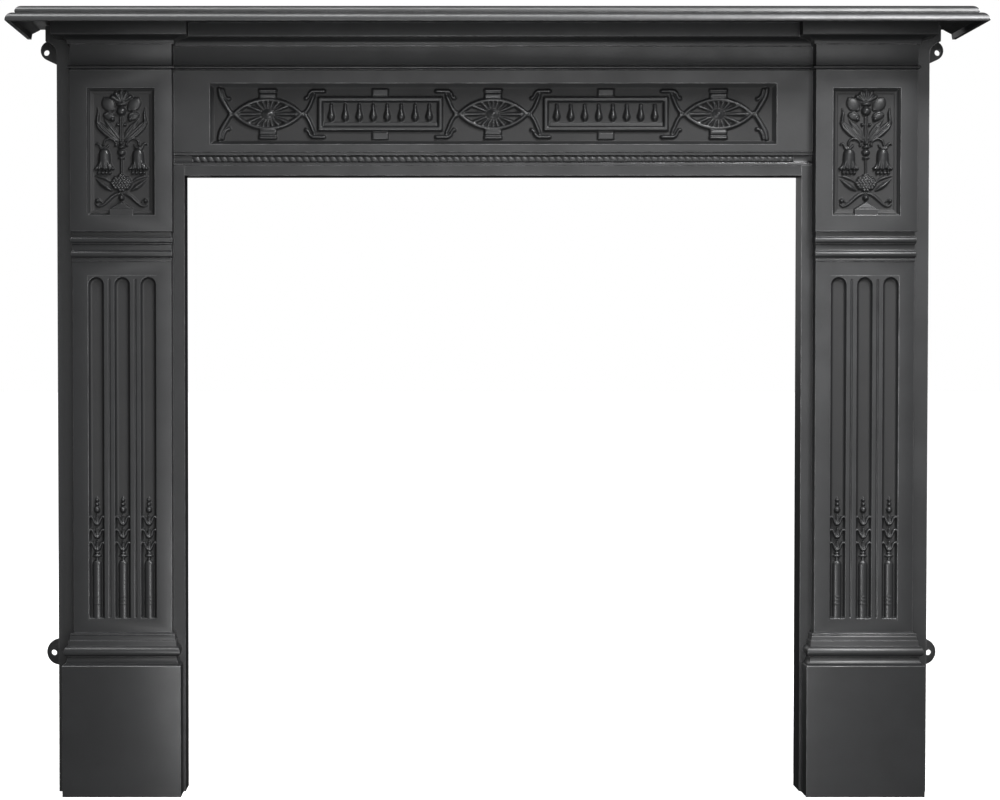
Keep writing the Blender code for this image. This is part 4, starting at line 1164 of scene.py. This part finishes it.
@dataclass
class Jamb:
    """One jamb: plinth, fluted shaft, carved capital, cornice return, margin strips and lugs."""

    face: Face = Face.RIGHT
    inner_margin: float = 0.018
    outer_margin: float = 0.026
    strip_depth: float = 0.048
    half_shaft: float = 0.075
    shaft_depth: float = 0.068
    plinth_side: float = 0.015
    plinth_front: float = 0.022
    capital_side: float = 0.002
    capital_front: float = 0.008
    plinth_height: float = 0.200
    shaft_foot: float = 0.248
    shaft_top: float = 0.807
    capital_foot: float = 0.856
    capital_top: float = 1.0995
    sole: float = 0.008
    corner: float = 0.0008
    flare_drop: float = 0.0417
    flare_rise: float = 0.0176
    flare_reach: float = 0.017
    flare_sweep: float = 60.0
    lug_hole: float = 0.009
    lug_thickness: float = 0.007
    lugs: tuple["Lug", ...] = (
        Lug(up=0.208, reach=0.0140, round_up=0.2095, round_out=0.0045, radius=0.0203, root=(0.1915, 0.2275)),
        Lug(up=1.1347, reach=0.0222, round_up=1.1377, round_out=0.0160, radius=0.0150, root=(1.1132, 1.1520)),
    )
    joint: float = 0.0009
    panel: CapitalPanel = field(default_factory=CapitalPanel)
    flutes: FlutedShaft = field(default_factory=FlutedShaft)

    def __post_init__(self) -> None:
        """Works out what follows from the named sizes."""
        self.middle = SIZES.opening_half + self.inner_margin + self.half_shaft
        self.half_capital = self.half_shaft + self.capital_side
        self.half_plinth = self.half_shaft + self.plinth_side
        self.capital_depth = self.shaft_depth + self.capital_front
        self.strip_out = self.half_shaft + self.outer_margin
        self.panel_low = self.capital_foot + 0.0245
        self.lip_top = SIZES.opening_height + Frieze.lip_height

    def base_outline(self) -> list[Point]:
        """Gives the base moulding as height against reach beyond the shaft's front."""
        foot, front = self.plinth_height, self.plinth_front
        profile = Profile(foot - 0.0012, front).line(foot, front - 0.0009)
        profile.quarter(foot + 0.0104, front * 0.55, hollow=False, steps=7)
        profile.line(foot + 0.0110, front * 0.50).line(foot + 0.0128, front * 0.50)
        profile.line(foot + 0.0132, front * 0.62).swell(foot + 0.0280, front * 0.53, front * 0.30, 14)
        profile.line(foot + 0.0278, front * 0.48).line(foot + 0.0362, front * 0.46)
        profile.line(foot + 0.0366, front * 0.34).quarter(foot + 0.0438, front * 0.24, hollow=True, steps=5)
        profile.line(foot + 0.0442, front * 0.30).line(foot + 0.0466, front * 0.28)
        profile.line(foot + 0.0472, front * 0.06).line(foot + 0.0480, 0.0)
        return profile.eased(SIZES.arris)

    def neck_outline(self) -> list[Point]:
        """Gives the necking as height against reach beyond the shaft's front."""
        foot, front = self.shaft_top, self.capital_front
        profile = Profile(foot + 0.0040, 0.0).line(foot + 0.0045, front * 0.26)
        profile.line(foot + 0.0078, front * 0.26).line(foot + 0.0084, front * 0.14)
        profile.line(foot + 0.0098, front * 0.16).swell(foot + 0.0202, front * 0.20, front * 0.62, 12)
        profile.line(foot + 0.0206, front * 0.12).swell(foot + 0.0296, front * 0.24, -front * 0.12, 6)
        profile.line(foot + 0.0302, front * 0.42).line(foot + 0.0318, front * 0.46)
        profile.swell(foot + 0.0410, front * 0.46, front * 0.44, 10)
        profile.line(foot + 0.0414, front * 0.06).line(foot + 0.0484, front * 0.06)
        profile.line(foot + 0.0490, front - 0.0006).line(foot + 0.0496, front)
        return profile.eased(SIZES.arris)

    def levels(self) -> list[Level]:
        """Gives the column's levels: height, half width and depth, from the floor to the shelf."""
        rows = [(0.0, self.half_plinth - 0.0004, self.plinth_depth - 0.0004)]
        rows.append((0.0006, self.half_plinth, self.plinth_depth))
        for up, reach in self.base_outline():
            share = reach / self.plinth_front
            rows.append((up, self.half_shaft + self.plinth_side * share, self.shaft_depth + reach))
        for up, reach in self.neck_outline():
            share = reach / self.capital_front
            rows.append((up, self.half_shaft + self.capital_side * share, self.shaft_depth + reach))
        cornice = SIZES.cornice(Profile(self.capital_top, 0.0), self.capital_top + 0.0072)
        for up, reach in cornice.eased(SIZES.arris):
            rows.append((up, self.half_capital + reach, self.capital_depth + reach))
        return rows

    @property
    def plinth_depth(self) -> float:
        """How far the plinth stands out from the wall."""
        return self.shaft_depth + self.plinth_front

    def across(self, place: float) -> float:
        """Gives the x of a place that is measured from the column's axis."""
        return self.middle + place

    def build_strips(self) -> bpy.types.Object:
        """Models the slab with both margin strips and the flare under the cornice.

        Returns:
            The closed slab, hollow behind.
        """
        front, foot = SIZES.wall - self.strip_depth, 0.0005
        inner = self.across(-self.half_shaft - self.inner_margin)
        behind = self.across(-self.half_capital + 0.001)
        outer = self.across(self.strip_out)
        Workbench.clear()
        bpy.ops.mesh.primitive_plane_add(size=1)
        slab = Workbench.place("strips", Vector((inner, front, foot)), Vector((outer, SIZES.wall, foot)))
        flare_foot = SIZES.jamb_top - self.flare_drop
        joint = self.lip_top - self.joint
        Workbench.edit(slab, "FACE", everything=True)
        bpy.ops.mesh.bisect(plane_co=(behind, 0, 0), plane_no=(1, 0, 0))
        bpy.ops.mesh.select_all(action="SELECT")
        bpy.ops.mesh.extrude_region_move(TRANSFORM_OT_translate={"value": (0, 0, joint - foot)})
        Workbench.pick_vertices(slab, lambda co: co.z > joint - 1e-5 and co.x > behind - 1e-5)
        bpy.ops.mesh.select_mode(type="FACE")
        bpy.ops.mesh.extrude_region_move(TRANSFORM_OT_translate={"value": (0, 0, flare_foot - joint)})
        steps, sweep = 8, math.radians(self.flare_sweep)
        before = (0.0, 0.0)
        for step in range(1, steps + 1):
            angle = sweep * step / steps
            out = self.flare_reach * (1 - math.cos(angle)) / (1 - math.cos(sweep))
            up = self.flare_rise * math.sin(angle) / math.sin(sweep)
            self.grow(slab, (outer - behind, before[0], out), up - before[1], behind)
            before = (out, up)
        head = SIZES.jamb_top - 0.0005
        self.grow(slab, (outer - behind, before[0], before[0]), head - flare_foot - before[1], behind)
        Workbench.face_out(slab)
        wide, tall = SIZES.iron, SIZES.wall + 0.004
        pocket_front = front + wide
        for left, low, high in (
            (inner, self.sole, self.lip_top - wide),
            (behind, self.lip_top - 0.02, SIZES.jamb_top - wide),
        ):
            Workbench.cut_box(slab, (left + wide, pocket_front, low), (outer - wide, tall, high))
        return slab

    @staticmethod
    def grow(slab: bpy.types.Object, widths: tuple[float, float, float], rise: float, behind: float) -> None:
        """Extrudes the slab's head by one step and widens it outward.

        Args:
            slab: Not used; the slab is in edit mode, with its head selected.
            widths: The head's first width, and what it has gained before and after this step.
            rise: The step's height.
            behind: The x that the head keeps.
        """
        first, gained, gain = widths
        bpy.ops.mesh.extrude_region_move(TRANSFORM_OT_translate={"value": (0, 0, rise)})
        share = (first + gain) / (first + gained)
        bpy.ops.transform.resize(value=(share, 1, 1), center_override=(behind, SIZES.wall, 0))

    def build_lug(self, lug: Lug) -> bpy.types.Object:
        """Models a drilled ear near the wall, outside the strip's edge.

        Args:
            lug: Its sizes.

        Returns:
            The ear, its hole cut.
        """
        edge, half = self.across(self.strip_out), self.lug_thickness / 2 - 0.0002
        centre = SIZES.wall - self.lug_thickness / 2 - 0.0002
        ear = Workbench.rod("lug", (edge + lug.round_out, centre, lug.round_up), lug.radius, 2 * half, 72)
        low, high = lug.root
        corners = (edge - 0.004, centre - half, low), (edge - 0.001, centre + half, high)
        root = Workbench.block("root", *corners)
        ear = Workbench.join("lug", [ear, root])
        Workbench.edit(ear, "FACE", everything=True)
        bpy.ops.mesh.convex_hull()
        Workbench.face_out(ear)
        Workbench.ease(ear, 0.0007)
        hole = Workbench.rod("hole", (edge + lug.reach, centre, lug.up), self.lug_hole / 2, 0.03, 40)
        Workbench.combine(ear, hole, Cut.REMOVE)
        return ear

    def build_body(self) -> bpy.types.Object:
        """Models the jamb without its carving.

        Returns:
            The casting, hollow behind, with windows for its flutes and its panel.
        """
        body = Workbench.draw_up("jamb_body", self.middle, SIZES.wall, self.levels(), self.corner)
        iron = SIZES.iron
        flute = self.shaft_depth - self.flutes.flute_depth_mm * MM - iron
        panel = self.capital_depth - self.panel.sink_mm * MM - iron
        behind = 0.004
        cavity = (
            (self.sole, self.half_plinth - iron, self.plinth_depth - iron),
            (self.plinth_height - iron, self.half_plinth - iron, self.plinth_depth - iron),
            (self.shaft_foot, self.half_shaft - iron, flute),
            (self.shaft_top, self.half_shaft - iron, flute),
            (self.capital_foot + iron, self.half_capital - iron, panel),
            (SIZES.jamb_top - iron, self.half_capital - iron, panel),
        )
        Workbench.combine(body, self.build_strips(), Cut.UNITE)
        rows = [(up, half, depth + behind) for up, half, depth in cavity]
        hollow = Workbench.draw_up("cavity", self.middle, SIZES.wall + behind, rows, 0.0)
        Workbench.combine(body, hollow, Cut.REMOVE)
        self.reopen_strips(body)
        ups, foot = self.flutes.rows(), self.panel_low / MM
        windows = (
            (self.flutes.half_mm, ups[0], ups[-1], flute, self.shaft_depth),
            (self.panel.half_mm, foot, foot + self.panel.height_mm, panel, self.capital_depth),
        )
        for half, low, high, back, front in windows:
            Workbench.cut_box(
                body,
                (self.across(-half * MM), SIZES.wall - front - 0.004, low * MM),
                (self.across(half * MM), SIZES.wall - back + 0.001, high * MM),
            )
        for lug in self.lugs:
            Workbench.combine(body, self.build_lug(lug), Cut.UNITE)
        return body

    def reopen_strips(self, body: bpy.types.Object) -> None:
        """Cuts away the column's sides where they stand in the strips' hollow."""
        front = SIZES.wall - self.strip_depth + SIZES.iron
        wide, deep = SIZES.iron, SIZES.wall + 0.005
        right = self.across(self.strip_out - wide)
        for place, low, high in (
            (-self.half_shaft - self.inner_margin, self.sole + 0.001, self.lip_top - wide - 0.0003),
            (-self.half_capital + 0.001, self.lip_top - 0.03, SIZES.jamb_top - wide - 0.0015),
        ):
            Workbench.cut_box(body, (self.across(place + wide), front, low), (right, deep, high))

    def build_slab(
        self, name: str, relief: tuple[Carving, np.ndarray], depths: tuple[float, float], up: float
    ) -> bpy.types.Object:
        """Turns a relief into a closed slab that fills its window.

        Args:
            name: The object's name.
            relief: The carving and its rise above the ground.
            depths: How far its ground and its flat back stand out from the wall.
            up: The height of the relief's zero.

        Returns:
            The slab.
        """
        carving, rise = relief
        front = SIZES.wall - depths[0] - rise * MM
        across = self.across(0.0) + carving.across * MM
        return Workbench.sheet(name, across, up + carving.up * MM, front, SIZES.wall - depths[1])

    def build(self) -> bpy.types.Object:
        """Models the right jamb; its name follows its face.

        Returns:
            The casting.
        """
        name = f"{self.face.name.lower()}_jamb_casting"
        body = self.build_body()
        Workbench.shade(body)
        ground = self.capital_depth - self.panel.sink_mm * MM
        panel = self.build_slab("capital", self.panel.carve(), (ground, ground - SIZES.iron), self.panel_low)
        floor = self.shaft_depth - self.flutes.flute_depth_mm * MM
        flutes = self.build_slab("flutes", self.flutes.carve(), (floor, floor - SIZES.iron), 0.0)
        return Workbench.join(name, [body, panel, flutes])

    def mirrored(self, casting: bpy.types.Object) -> bpy.types.Object:
        """Copies a finished jamb to the other side.

        Args:
            casting: The right jamb.

        Returns:
            The left jamb, with its own mesh.
        """
        Workbench.hold(casting)
        bpy.ops.object.duplicate()
        other = bpy.context.object
        other.name = f"{Face.LEFT.name.lower()}_jamb_casting"
        other.data.name = other.name
        Workbench.edit(other, "FACE", everything=True)
        bpy.ops.transform.resize(value=(-1, 1, 1), center_override=(0, 0, 0))
        bpy.ops.mesh.flip_normals()
        Workbench.clear()
        return other

    def end_cutter(self) -> bpy.types.Object:
        """Models the capital and cornice a hair larger, to cut the frieze's end to them."""
        ease = SIZES.gap
        past, foot = 0.01, self.capital_foot - ease
        rows = [(up, half + ease, depth + ease) for up, half, depth in self.levels() if up > foot]
        rows.append((SIZES.jamb_top + past, *rows[-1][1:]))
        deep = [(up, half, depth + past) for up, half, depth in rows]
        return Workbench.draw_up("end", self.middle, SIZES.wall + past, deep, self.corner)


class Nodes:
    """A short hand for building a shader tree from left to right."""

    def __init__(self, tree: bpy.types.NodeTree) -> None:
        """Holds the tree that is being built."""
        self.tree = tree

    def add(self, kind: str, inputs: dict | None = None, **settings: object) -> bpy.types.Node:
        """Adds a node.

        Args:
            kind: The node's type.
            inputs: Values or sockets for its inputs, by name or number.
            settings: Properties to set on it.

        Returns:
            The node.
        """
        node = self.tree.nodes.new(kind)
        for name, value in settings.items():
            setattr(node, name, value)
        for key, value in (inputs or {}).items():
            if isinstance(value, bpy.types.NodeSocket):
                self.tree.links.new(value, node.inputs[key])
            else:
                node.inputs[key].default_value = value
        return node

    def sum(self, operation: str, *values: object) -> bpy.types.NodeSocket:
        """Adds a Math node and gives its result."""
        node = self.add("ShaderNodeMath", dict(enumerate(values)), operation=operation, use_clamp=False)
        return node.outputs[0]

    def spread(
        self, value: bpy.types.NodeSocket, low: float, high: float, to_low: float = 0.0, to_high: float = 1.0
    ) -> bpy.types.NodeSocket:
        """Maps a value from one range to another, clamped."""
        inputs = {"Value": value, 1: low, 2: high, 3: to_low, 4: to_high}
        return self.add("ShaderNodeMapRange", inputs, clamp=True).outputs[0]

    def grey(self, value: bpy.types.NodeSocket) -> bpy.types.NodeSocket:
        """Makes a grey from a value."""
        return self.add("ShaderNodeCombineColor", {0: value, 1: value, 2: value}).outputs[0]

    def blend(self, share: object, one: object, two: object) -> bpy.types.NodeSocket:
        """Mixes two colours by a share."""
        node = self.add("ShaderNodeMix", {0: share, 6: one, 7: two}, data_type="RGBA")
        return node.outputs[2]


def start_group(
    name: str, inputs: dict[str, float], outputs: Sequence[str]
) -> tuple[Nodes, bpy.types.Node, bpy.types.Node]:
    """Makes a node group with named sockets.

    Args:
        name: The group's name.
        inputs: Number inputs and their usual values.
        outputs: The names of its number outputs.

    Returns:
        The tree's hand, its input node and its output node.
    """
    tree = bpy.data.node_groups.new(name, "ShaderNodeTree")
    for label, value in inputs.items():
        socket = tree.interface.new_socket(label, in_out="INPUT", socket_type="NodeSocketFloat")
        socket.default_value = value
    for label in outputs:
        tree.interface.new_socket(label, in_out="OUTPUT", socket_type="NodeSocketFloat")
    hand = Nodes(tree)
    return hand, hand.add("NodeGroupInput"), hand.add("NodeGroupOutput")


def sand_grain() -> bpy.types.NodeTree:
    """Builds the effect of sand-cast iron: fine pits over a slow unevenness.

    Returns:
        A group with a height and a mottle.
    """
    values = {"Grain": 620.0, "Unevenness": 16.0}
    hand, given, result = start_group("sand_grain", values, ("Height", "Mottle"))
    place = hand.add("ShaderNodeTexCoord").outputs["Object"]
    pits = {"Vector": place, "Scale": given.outputs["Grain"], "Detail": 3.0, "Roughness": 0.6}
    fine = hand.add("ShaderNodeTexNoise", pits).outputs[0]
    waves = {"Vector": place, "Scale": given.outputs["Unevenness"], "Detail": 4.0}
    slow = hand.add("ShaderNodeTexNoise", waves).outputs[0]
    for label, fine_share, slow_share in (("Height", 0.30, 1.4), ("Mottle", 0.35, 0.65)):
        shares = (hand.sum("MULTIPLY", fine, fine_share), hand.sum("MULTIPLY", slow, slow_share))
        hand.tree.links.new(hand.sum("ADD", *shares), result.inputs[label])
    return hand.tree


def arris_wear_highlight() -> bpy.types.NodeTree:
    """Builds a mask of the rounded arrises: worn by the polishing brush, and given a painted highlight.

    Returns:
        A group with one mask.
    """
    hand, given, result = start_group("arris_wear_highlight", {"Reach": 0.0012, "Amount": 1.0}, ("Mask",))
    rounded = hand.add("ShaderNodeBevel", {"Radius": given.outputs["Reach"]}, samples=4).outputs[0]
    flat = hand.add("ShaderNodeNewGeometry").outputs["Normal"]
    dot = hand.add("ShaderNodeVectorMath", {0: rounded, 1: flat}, operation="DOT_PRODUCT").outputs["Value"]
    turn = hand.spread(dot, 0.995, 0.90)
    place = hand.add("ShaderNodeTexCoord").outputs["Object"]
    patchy = hand.add("ShaderNodeTexNoise", {"Vector": place, "Scale": 45.0, "Detail": 5.0}).outputs[0]
    kept = hand.spread(patchy, 0.35, 0.65, 0.25, 1.0)
    mask = hand.sum("MULTIPLY", hand.sum("MULTIPLY", turn, kept), given.outputs["Amount"])
    hand.tree.links.new(mask, result.inputs["Mask"])
    return hand.tree


def hollow_shade() -> bpy.types.NodeTree:
    """Builds a mask that darkens the hollows by ambient occlusion, as painted shade.

    Returns:
        A group with one mask.
    """
    hand, given, result = start_group("hollow_shade", {"Reach": 0.010}, ("Mask",))
    reach = {"Distance": given.outputs["Reach"]}
    opening = hand.add("ShaderNodeAmbientOcclusion", reach, samples=6, only_local=True).outputs["AO"]
    closed = hand.spread(opening, 0.85, 0.25)
    hand.tree.links.new(closed, result.inputs["Mask"])
    return hand.tree


def sunk_ground_shade() -> bpy.types.NodeTree:
    """Builds a mask of the deep sunk fields, where the colour is darkened as painted shade and the surface
    left rough and unpolished.

    Returns:
        A group with one mask, 1 where a sunk field lies deep behind the casting's face.
    """
    values = {"Face": 0.0, "Middle": 0.0, "Half": 0.0, "Step Height": 2.0, "Step": 0.0, "Depth": 0.008}
    hand, given, result = start_group("sunk_ground_shade", values, ("Mask",))
    place = hand.add("ShaderNodeTexCoord").outputs["Object"]
    x, y, z = hand.add("ShaderNodeSeparateXYZ", {"Vector": place}).outputs
    above = hand.sum("GREATER_THAN", z, given.outputs["Step Height"])
    face = hand.sum("SUBTRACT", given.outputs["Face"], hand.sum("MULTIPLY", above, given.outputs["Step"]))
    depth = hand.sum("DIVIDE", hand.sum("SUBTRACT", y, face), given.outputs["Depth"])
    beside = hand.sum("ABSOLUTE", hand.sum("SUBTRACT", hand.sum("ABSOLUTE", x), given.outputs["Middle"]))
    within = hand.sum("LESS_THAN", beside, given.outputs["Half"])
    mask = hand.sum("MULTIPLY", hand.spread(depth, 0.50, 0.92), within)
    hand.tree.links.new(mask, result.inputs["Mask"])
    return hand.tree


@dataclass(frozen=True)
class Sunk:
    """Where a casting's sunk fields lie: its face, their middle and half width, and a higher step's face."""

    face: float = 0.0
    middle: float = 0.0
    half: float = 0.0
    step_height: float = 2.0
    step: float = 0.0
    depth: float = 0.008


@dataclass(frozen=True)
class BlackLead:
    """A finish: cast iron under black lead, with a painted highlight on its arrises and painted shade in its
    hollows and sunk fields.
    """

    slot: str
    colour: tuple[float, float, float]
    # The pale metallic colour of the arrises: real rubbing and a painted highlight.
    worn_highlight_colour: tuple[float, float, float] = (0.30, 0.30, 0.305)
    # The colour of hollows and sunk fields: painted shade.
    shade_colour: tuple[float, float, float] = (0.006, 0.006, 0.0065)
    roughness: float = 0.35
    # How strongly the arrises get the painted highlight and worn look.
    wear_highlight: float = 0.6
    grain: float = 620.0
    sunk: Sunk = Sunk()

    def make(self, groups: dict[str, bpy.types.NodeTree]) -> bpy.types.Material:
        """Builds the material.

        Args:
            groups: The shared effects, by name.

        Returns:
            The material, named after its slot.
        """
        material = bpy.data.materials.new(self.slot)
        material.use_nodes = True
        hand = Nodes(material.node_tree)
        shader = material.node_tree.nodes["Principled BSDF"]
        grain = hand.add("ShaderNodeGroup", node_tree=groups["sand_grain"])
        grain.inputs["Grain"].default_value = self.grain
        # Arris mask: worn edges with a painted highlight.
        wear_highlight = hand.add("ShaderNodeGroup", node_tree=groups["arris_wear_highlight"])
        wear_highlight.inputs["Amount"].default_value = self.wear_highlight
        # Masks of the hollows and of the deep sunk fields, which darken the colour as painted shade.
        hollow_shade_mask = hand.add("ShaderNodeGroup", node_tree=groups["hollow_shade"])
        ground = hand.add("ShaderNodeGroup", node_tree=groups["sunk_ground_shade"])
        for label, value in zip(ground.inputs.keys(), astuple(self.sunk)):
            ground.inputs[label].default_value = value
        deep = tuple(part * 0.72 for part in self.colour)
        patches = hand.spread(grain.outputs["Mottle"], 0.40, 0.60)
        mottled = hand.blend(patches, (*deep, 1.0), (*self.colour, 1.0))
        # Painted shade: hollows and deep sunk fields are darkened toward the shade colour, and made rougher.
        shade_rough_mask = hand.sum("MAXIMUM", hand.sum("MULTIPLY", hollow_shade_mask.outputs["Mask"], 0.7), ground.outputs["Mask"])
        shaded_colour = hand.blend(shade_rough_mask, mottled, (*self.shade_colour, 1.0))
        # Painted highlight, partly real rubbing: the arrises turn to the pale metallic colour, less so in the
        # shaded hollows.
        rubbed_highlight = hand.sum("MULTIPLY", wear_highlight.outputs["Mask"], hand.spread(shade_rough_mask, 0.0, 0.5, 1.0, 0.0))
        colour = hand.blend(rubbed_highlight, shaded_colour, (*self.worn_highlight_colour, 1.0))
        links = material.node_tree.links
        links.new(colour, shader.inputs["Base Color"])
        rough = hand.spread(grain.outputs["Mottle"], 0.35, 0.65, self.roughness + 0.05, self.roughness - 0.04)
        rough = hand.sum("ADD", rough, hand.sum("MULTIPLY", shade_rough_mask, 0.30))
        rough = hand.sum("SUBTRACT", rough, hand.sum("MULTIPLY", rubbed_highlight, 0.06))
        links.new(rough, shader.inputs["Roughness"])
        # The painted highlight also makes the arrises metallic.
        shine = hand.spread(rubbed_highlight, 0.0, 1.0, 0.25, 0.9)
        metal = hand.sum("MULTIPLY", shine, hand.spread(shade_rough_mask, 0.0, 1.0, 1.0, 0.0))
        links.new(metal, shader.inputs["Metallic"])
        skin = {"Strength": 0.35, "Distance": 0.0006, "Height": grain.outputs["Height"]}
        bump = hand.add("ShaderNodeBump", skin)
        links.new(bump.outputs[0], shader.inputs["Normal"])
        return material


@dataclass
class Studio:
    """The floor, the soft lights and the camera."""

    lens_mm: float = 76.7
    shift: float = 0.1
    camera_place: tuple[float, float, float] = (-0.1417, -3.205, 0.6786)
    tilt_degrees: float = -1.37
    floor_size: float = 60.0
    room_light: Point = (0.02, 0.42)

    def add_floor(self) -> None:
        """Lays a plain pale floor."""
        Workbench.clear()
        bpy.ops.mesh.primitive_plane_add(size=self.floor_size)
        floor = bpy.context.object
        floor.name = "studio_floor"
        material = bpy.data.materials.new("studio_floor")
        material.use_nodes = True
        shader = material.node_tree.nodes["Principled BSDF"]
        shader.inputs["Base Color"].default_value = (0.85, 0.85, 0.85, 1.0)
        shader.inputs["Roughness"].default_value = 0.9
        shader.inputs["Specular IOR Level"].default_value = 0.0
        shader.inputs["Emission Color"].default_value = (1.0, 1.0, 1.0, 1.0)
        shader.inputs["Emission Strength"].default_value = 1.0
        floor.data.materials.append(material)
        floor.visible_diffuse = False
        floor.visible_glossy = False

    def add_light(
        self, name: str, place: Sequence[float], target: Sequence[float], size: Point, power: float
    ) -> None:
        """Adds a soft box.

        Args:
            name: The light's name.
            place: Where it stands.
            target: What it is turned to.
            size: Its width and height.
            power: Its power in watts.
        """
        data = bpy.data.lights.new(name, "AREA")
        data.shape = "RECTANGLE"
        data.size, data.size_y = size
        data.energy = power
        lamp = bpy.data.objects.new(name, data)
        lamp.visible_camera = False
        lamp.location = place
        turned = (Vector(target) - Vector(place)).to_track_quat("-Z", "Y")
        lamp.rotation_euler = turned.to_euler()
        bpy.context.scene.collection.objects.link(lamp)

    def add_world(self) -> None:
        """Hangs a white backdrop, and a dim room for the iron to reflect, dark behind it."""
        world = bpy.data.worlds.new("studio")
        world.use_nodes = True
        hand = Nodes(world.node_tree)
        direction = hand.add("ShaderNodeTexCoord").outputs["Generated"]
        backward = hand.add("ShaderNodeSeparateXYZ", {"Vector": direction}).outputs["Y"]
        low, high = self.room_light
        room = hand.spread(backward, 0.35, -0.45, low, high)
        seen = hand.add("ShaderNodeLightPath").outputs["Is Camera Ray"]
        background = world.node_tree.nodes["Background"]
        colour = hand.blend(seen, hand.grey(room), (1.0, 1.0, 1.0, 1.0))
        world.node_tree.links.new(colour, background.inputs["Color"])
        bpy.context.scene.world = world

    def add_camera(self) -> None:
        """Sets up the camera at the photograph's viewpoint."""
        data = bpy.data.cameras.new("camera")
        data.lens = self.lens_mm
        data.sensor_width = 36.0
        data.sensor_fit = "HORIZONTAL"
        data.shift_x = self.shift
        data.clip_end = 100.0
        camera = bpy.data.objects.new("camera", data)
        camera.location = self.camera_place
        camera.rotation_euler = (math.radians(90.0 + self.tilt_degrees), 0.0, 0.0)
        bpy.context.scene.collection.objects.link(camera)
        bpy.context.scene.camera = camera

    def build(self) -> None:
        """Builds the whole set."""
        self.add_floor()
        self.add_world()
        self.add_light("key", (1.02, -1.55, 2.28), (0.52, 0.0, 0.35), (0.45, 0.45), 70.0)
        self.add_light("front", (0.50, -3.80, 1.05), (0.20, 0.0, 0.85), (2.40, 2.00), 38.0)
        self.add_light("overhead", (-0.10, -0.55, 2.30), (0.0, -0.05, 1.10), (2.60, 0.30), 46.0)
        self.add_light("fill", (-0.05, -1.10, 0.06), (0.05, 0.0, 1.15), (0.50, 0.40), 10.0)
        self.add_light("behind", (-1.60, 3.60, 1.70), (0.0, 0.0, 0.60), (2.00, 2.00), 14.0)
        self.add_camera()
        bpy.context.scene.view_settings.view_transform = "Standard"


def dress(piece: bpy.types.Object, node: str, material: bpy.types.Material) -> None:
    """Gives a finished casting its material and its place in the table.

    Args:
        piece: The casting.
        node: The solid that it stands for.
        material: Its finish, named after its slot.
    """
    piece.data.materials.clear()
    piece.data.materials.append(material)
    for polygon in piece.data.polygons:
        polygon.material_index = 0
    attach(piece, ROOT)
    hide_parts(node)
    LOG.info("%s: %d faces for %s", piece.name, len(piece.data.polygons), node)


def main() -> None:
    """Builds the set and the four castings, in order."""
    logging.basicConfig(level=logging.INFO, format="%(message)s")
    Studio().build()
    jamb = Jamb()
    frieze = Frieze()
    groups = {tree.name: tree for tree in (sand_grain(), arris_wear_highlight(), hollow_shade(), sunk_ground_shade())}
    panel = Sunk(SIZES.wall - frieze.depth, 0.0, frieze.panel_half)
    shaft_face = SIZES.wall - jamb.shaft_depth
    flutes = Sunk(shaft_face, jamb.middle, jamb.flutes.half_mm * MM, jamb.capital_foot, jamb.capital_front)
    # The arris mask's amount grows from the left jamb to the right one: a stronger painted highlight on the
    # side the key light comes from.
    finishes = {
        "shelf": BlackLead("shelf_iron", (0.024, 0.0245, 0.0255), roughness=0.36),
        "frieze": BlackLead("frieze_iron", (0.020, 0.0205, 0.0215), wear_highlight=0.8, sunk=panel),
        "left_jamb": BlackLead("left_jamb_iron", (0.019, 0.0195, 0.0205), sunk=flutes),
        "right_jamb": BlackLead("right_jamb_iron", (0.021, 0.0215, 0.0225), wear_highlight=1.0, sunk=flutes),
    }
    materials = {node: finish.make(groups) for node, finish in finishes.items()}

    dress(Shelf().build(), "shelf", materials["shelf"])

    right = jamb.build()
    left = jamb.mirrored(right)
    dress(right, "right_jamb", materials["right_jamb"])
    dress(left, "left_jamb", materials["left_jamb"])

    body = frieze.build_body()
    for side in (1, -1):
        cutter = jamb.end_cutter()
        if side < 0:
            Workbench.edit(cutter, "FACE", everything=True)
            bpy.ops.transform.resize(value=(-1, 1, 1), center_override=(0, 0, 0))
            Workbench.face_out(cutter)
        Workbench.combine(body, cutter, Cut.REMOVE)
    Workbench.shade(body)
    casting = Workbench.join("frieze_casting", [body, frieze.build_rope()])
    dress(casting, "frieze", materials["frieze"])
    carving = frieze.build_carving()
    dress(carving, "frieze", materials["frieze"])


if __name__ == "__main__":
    main()
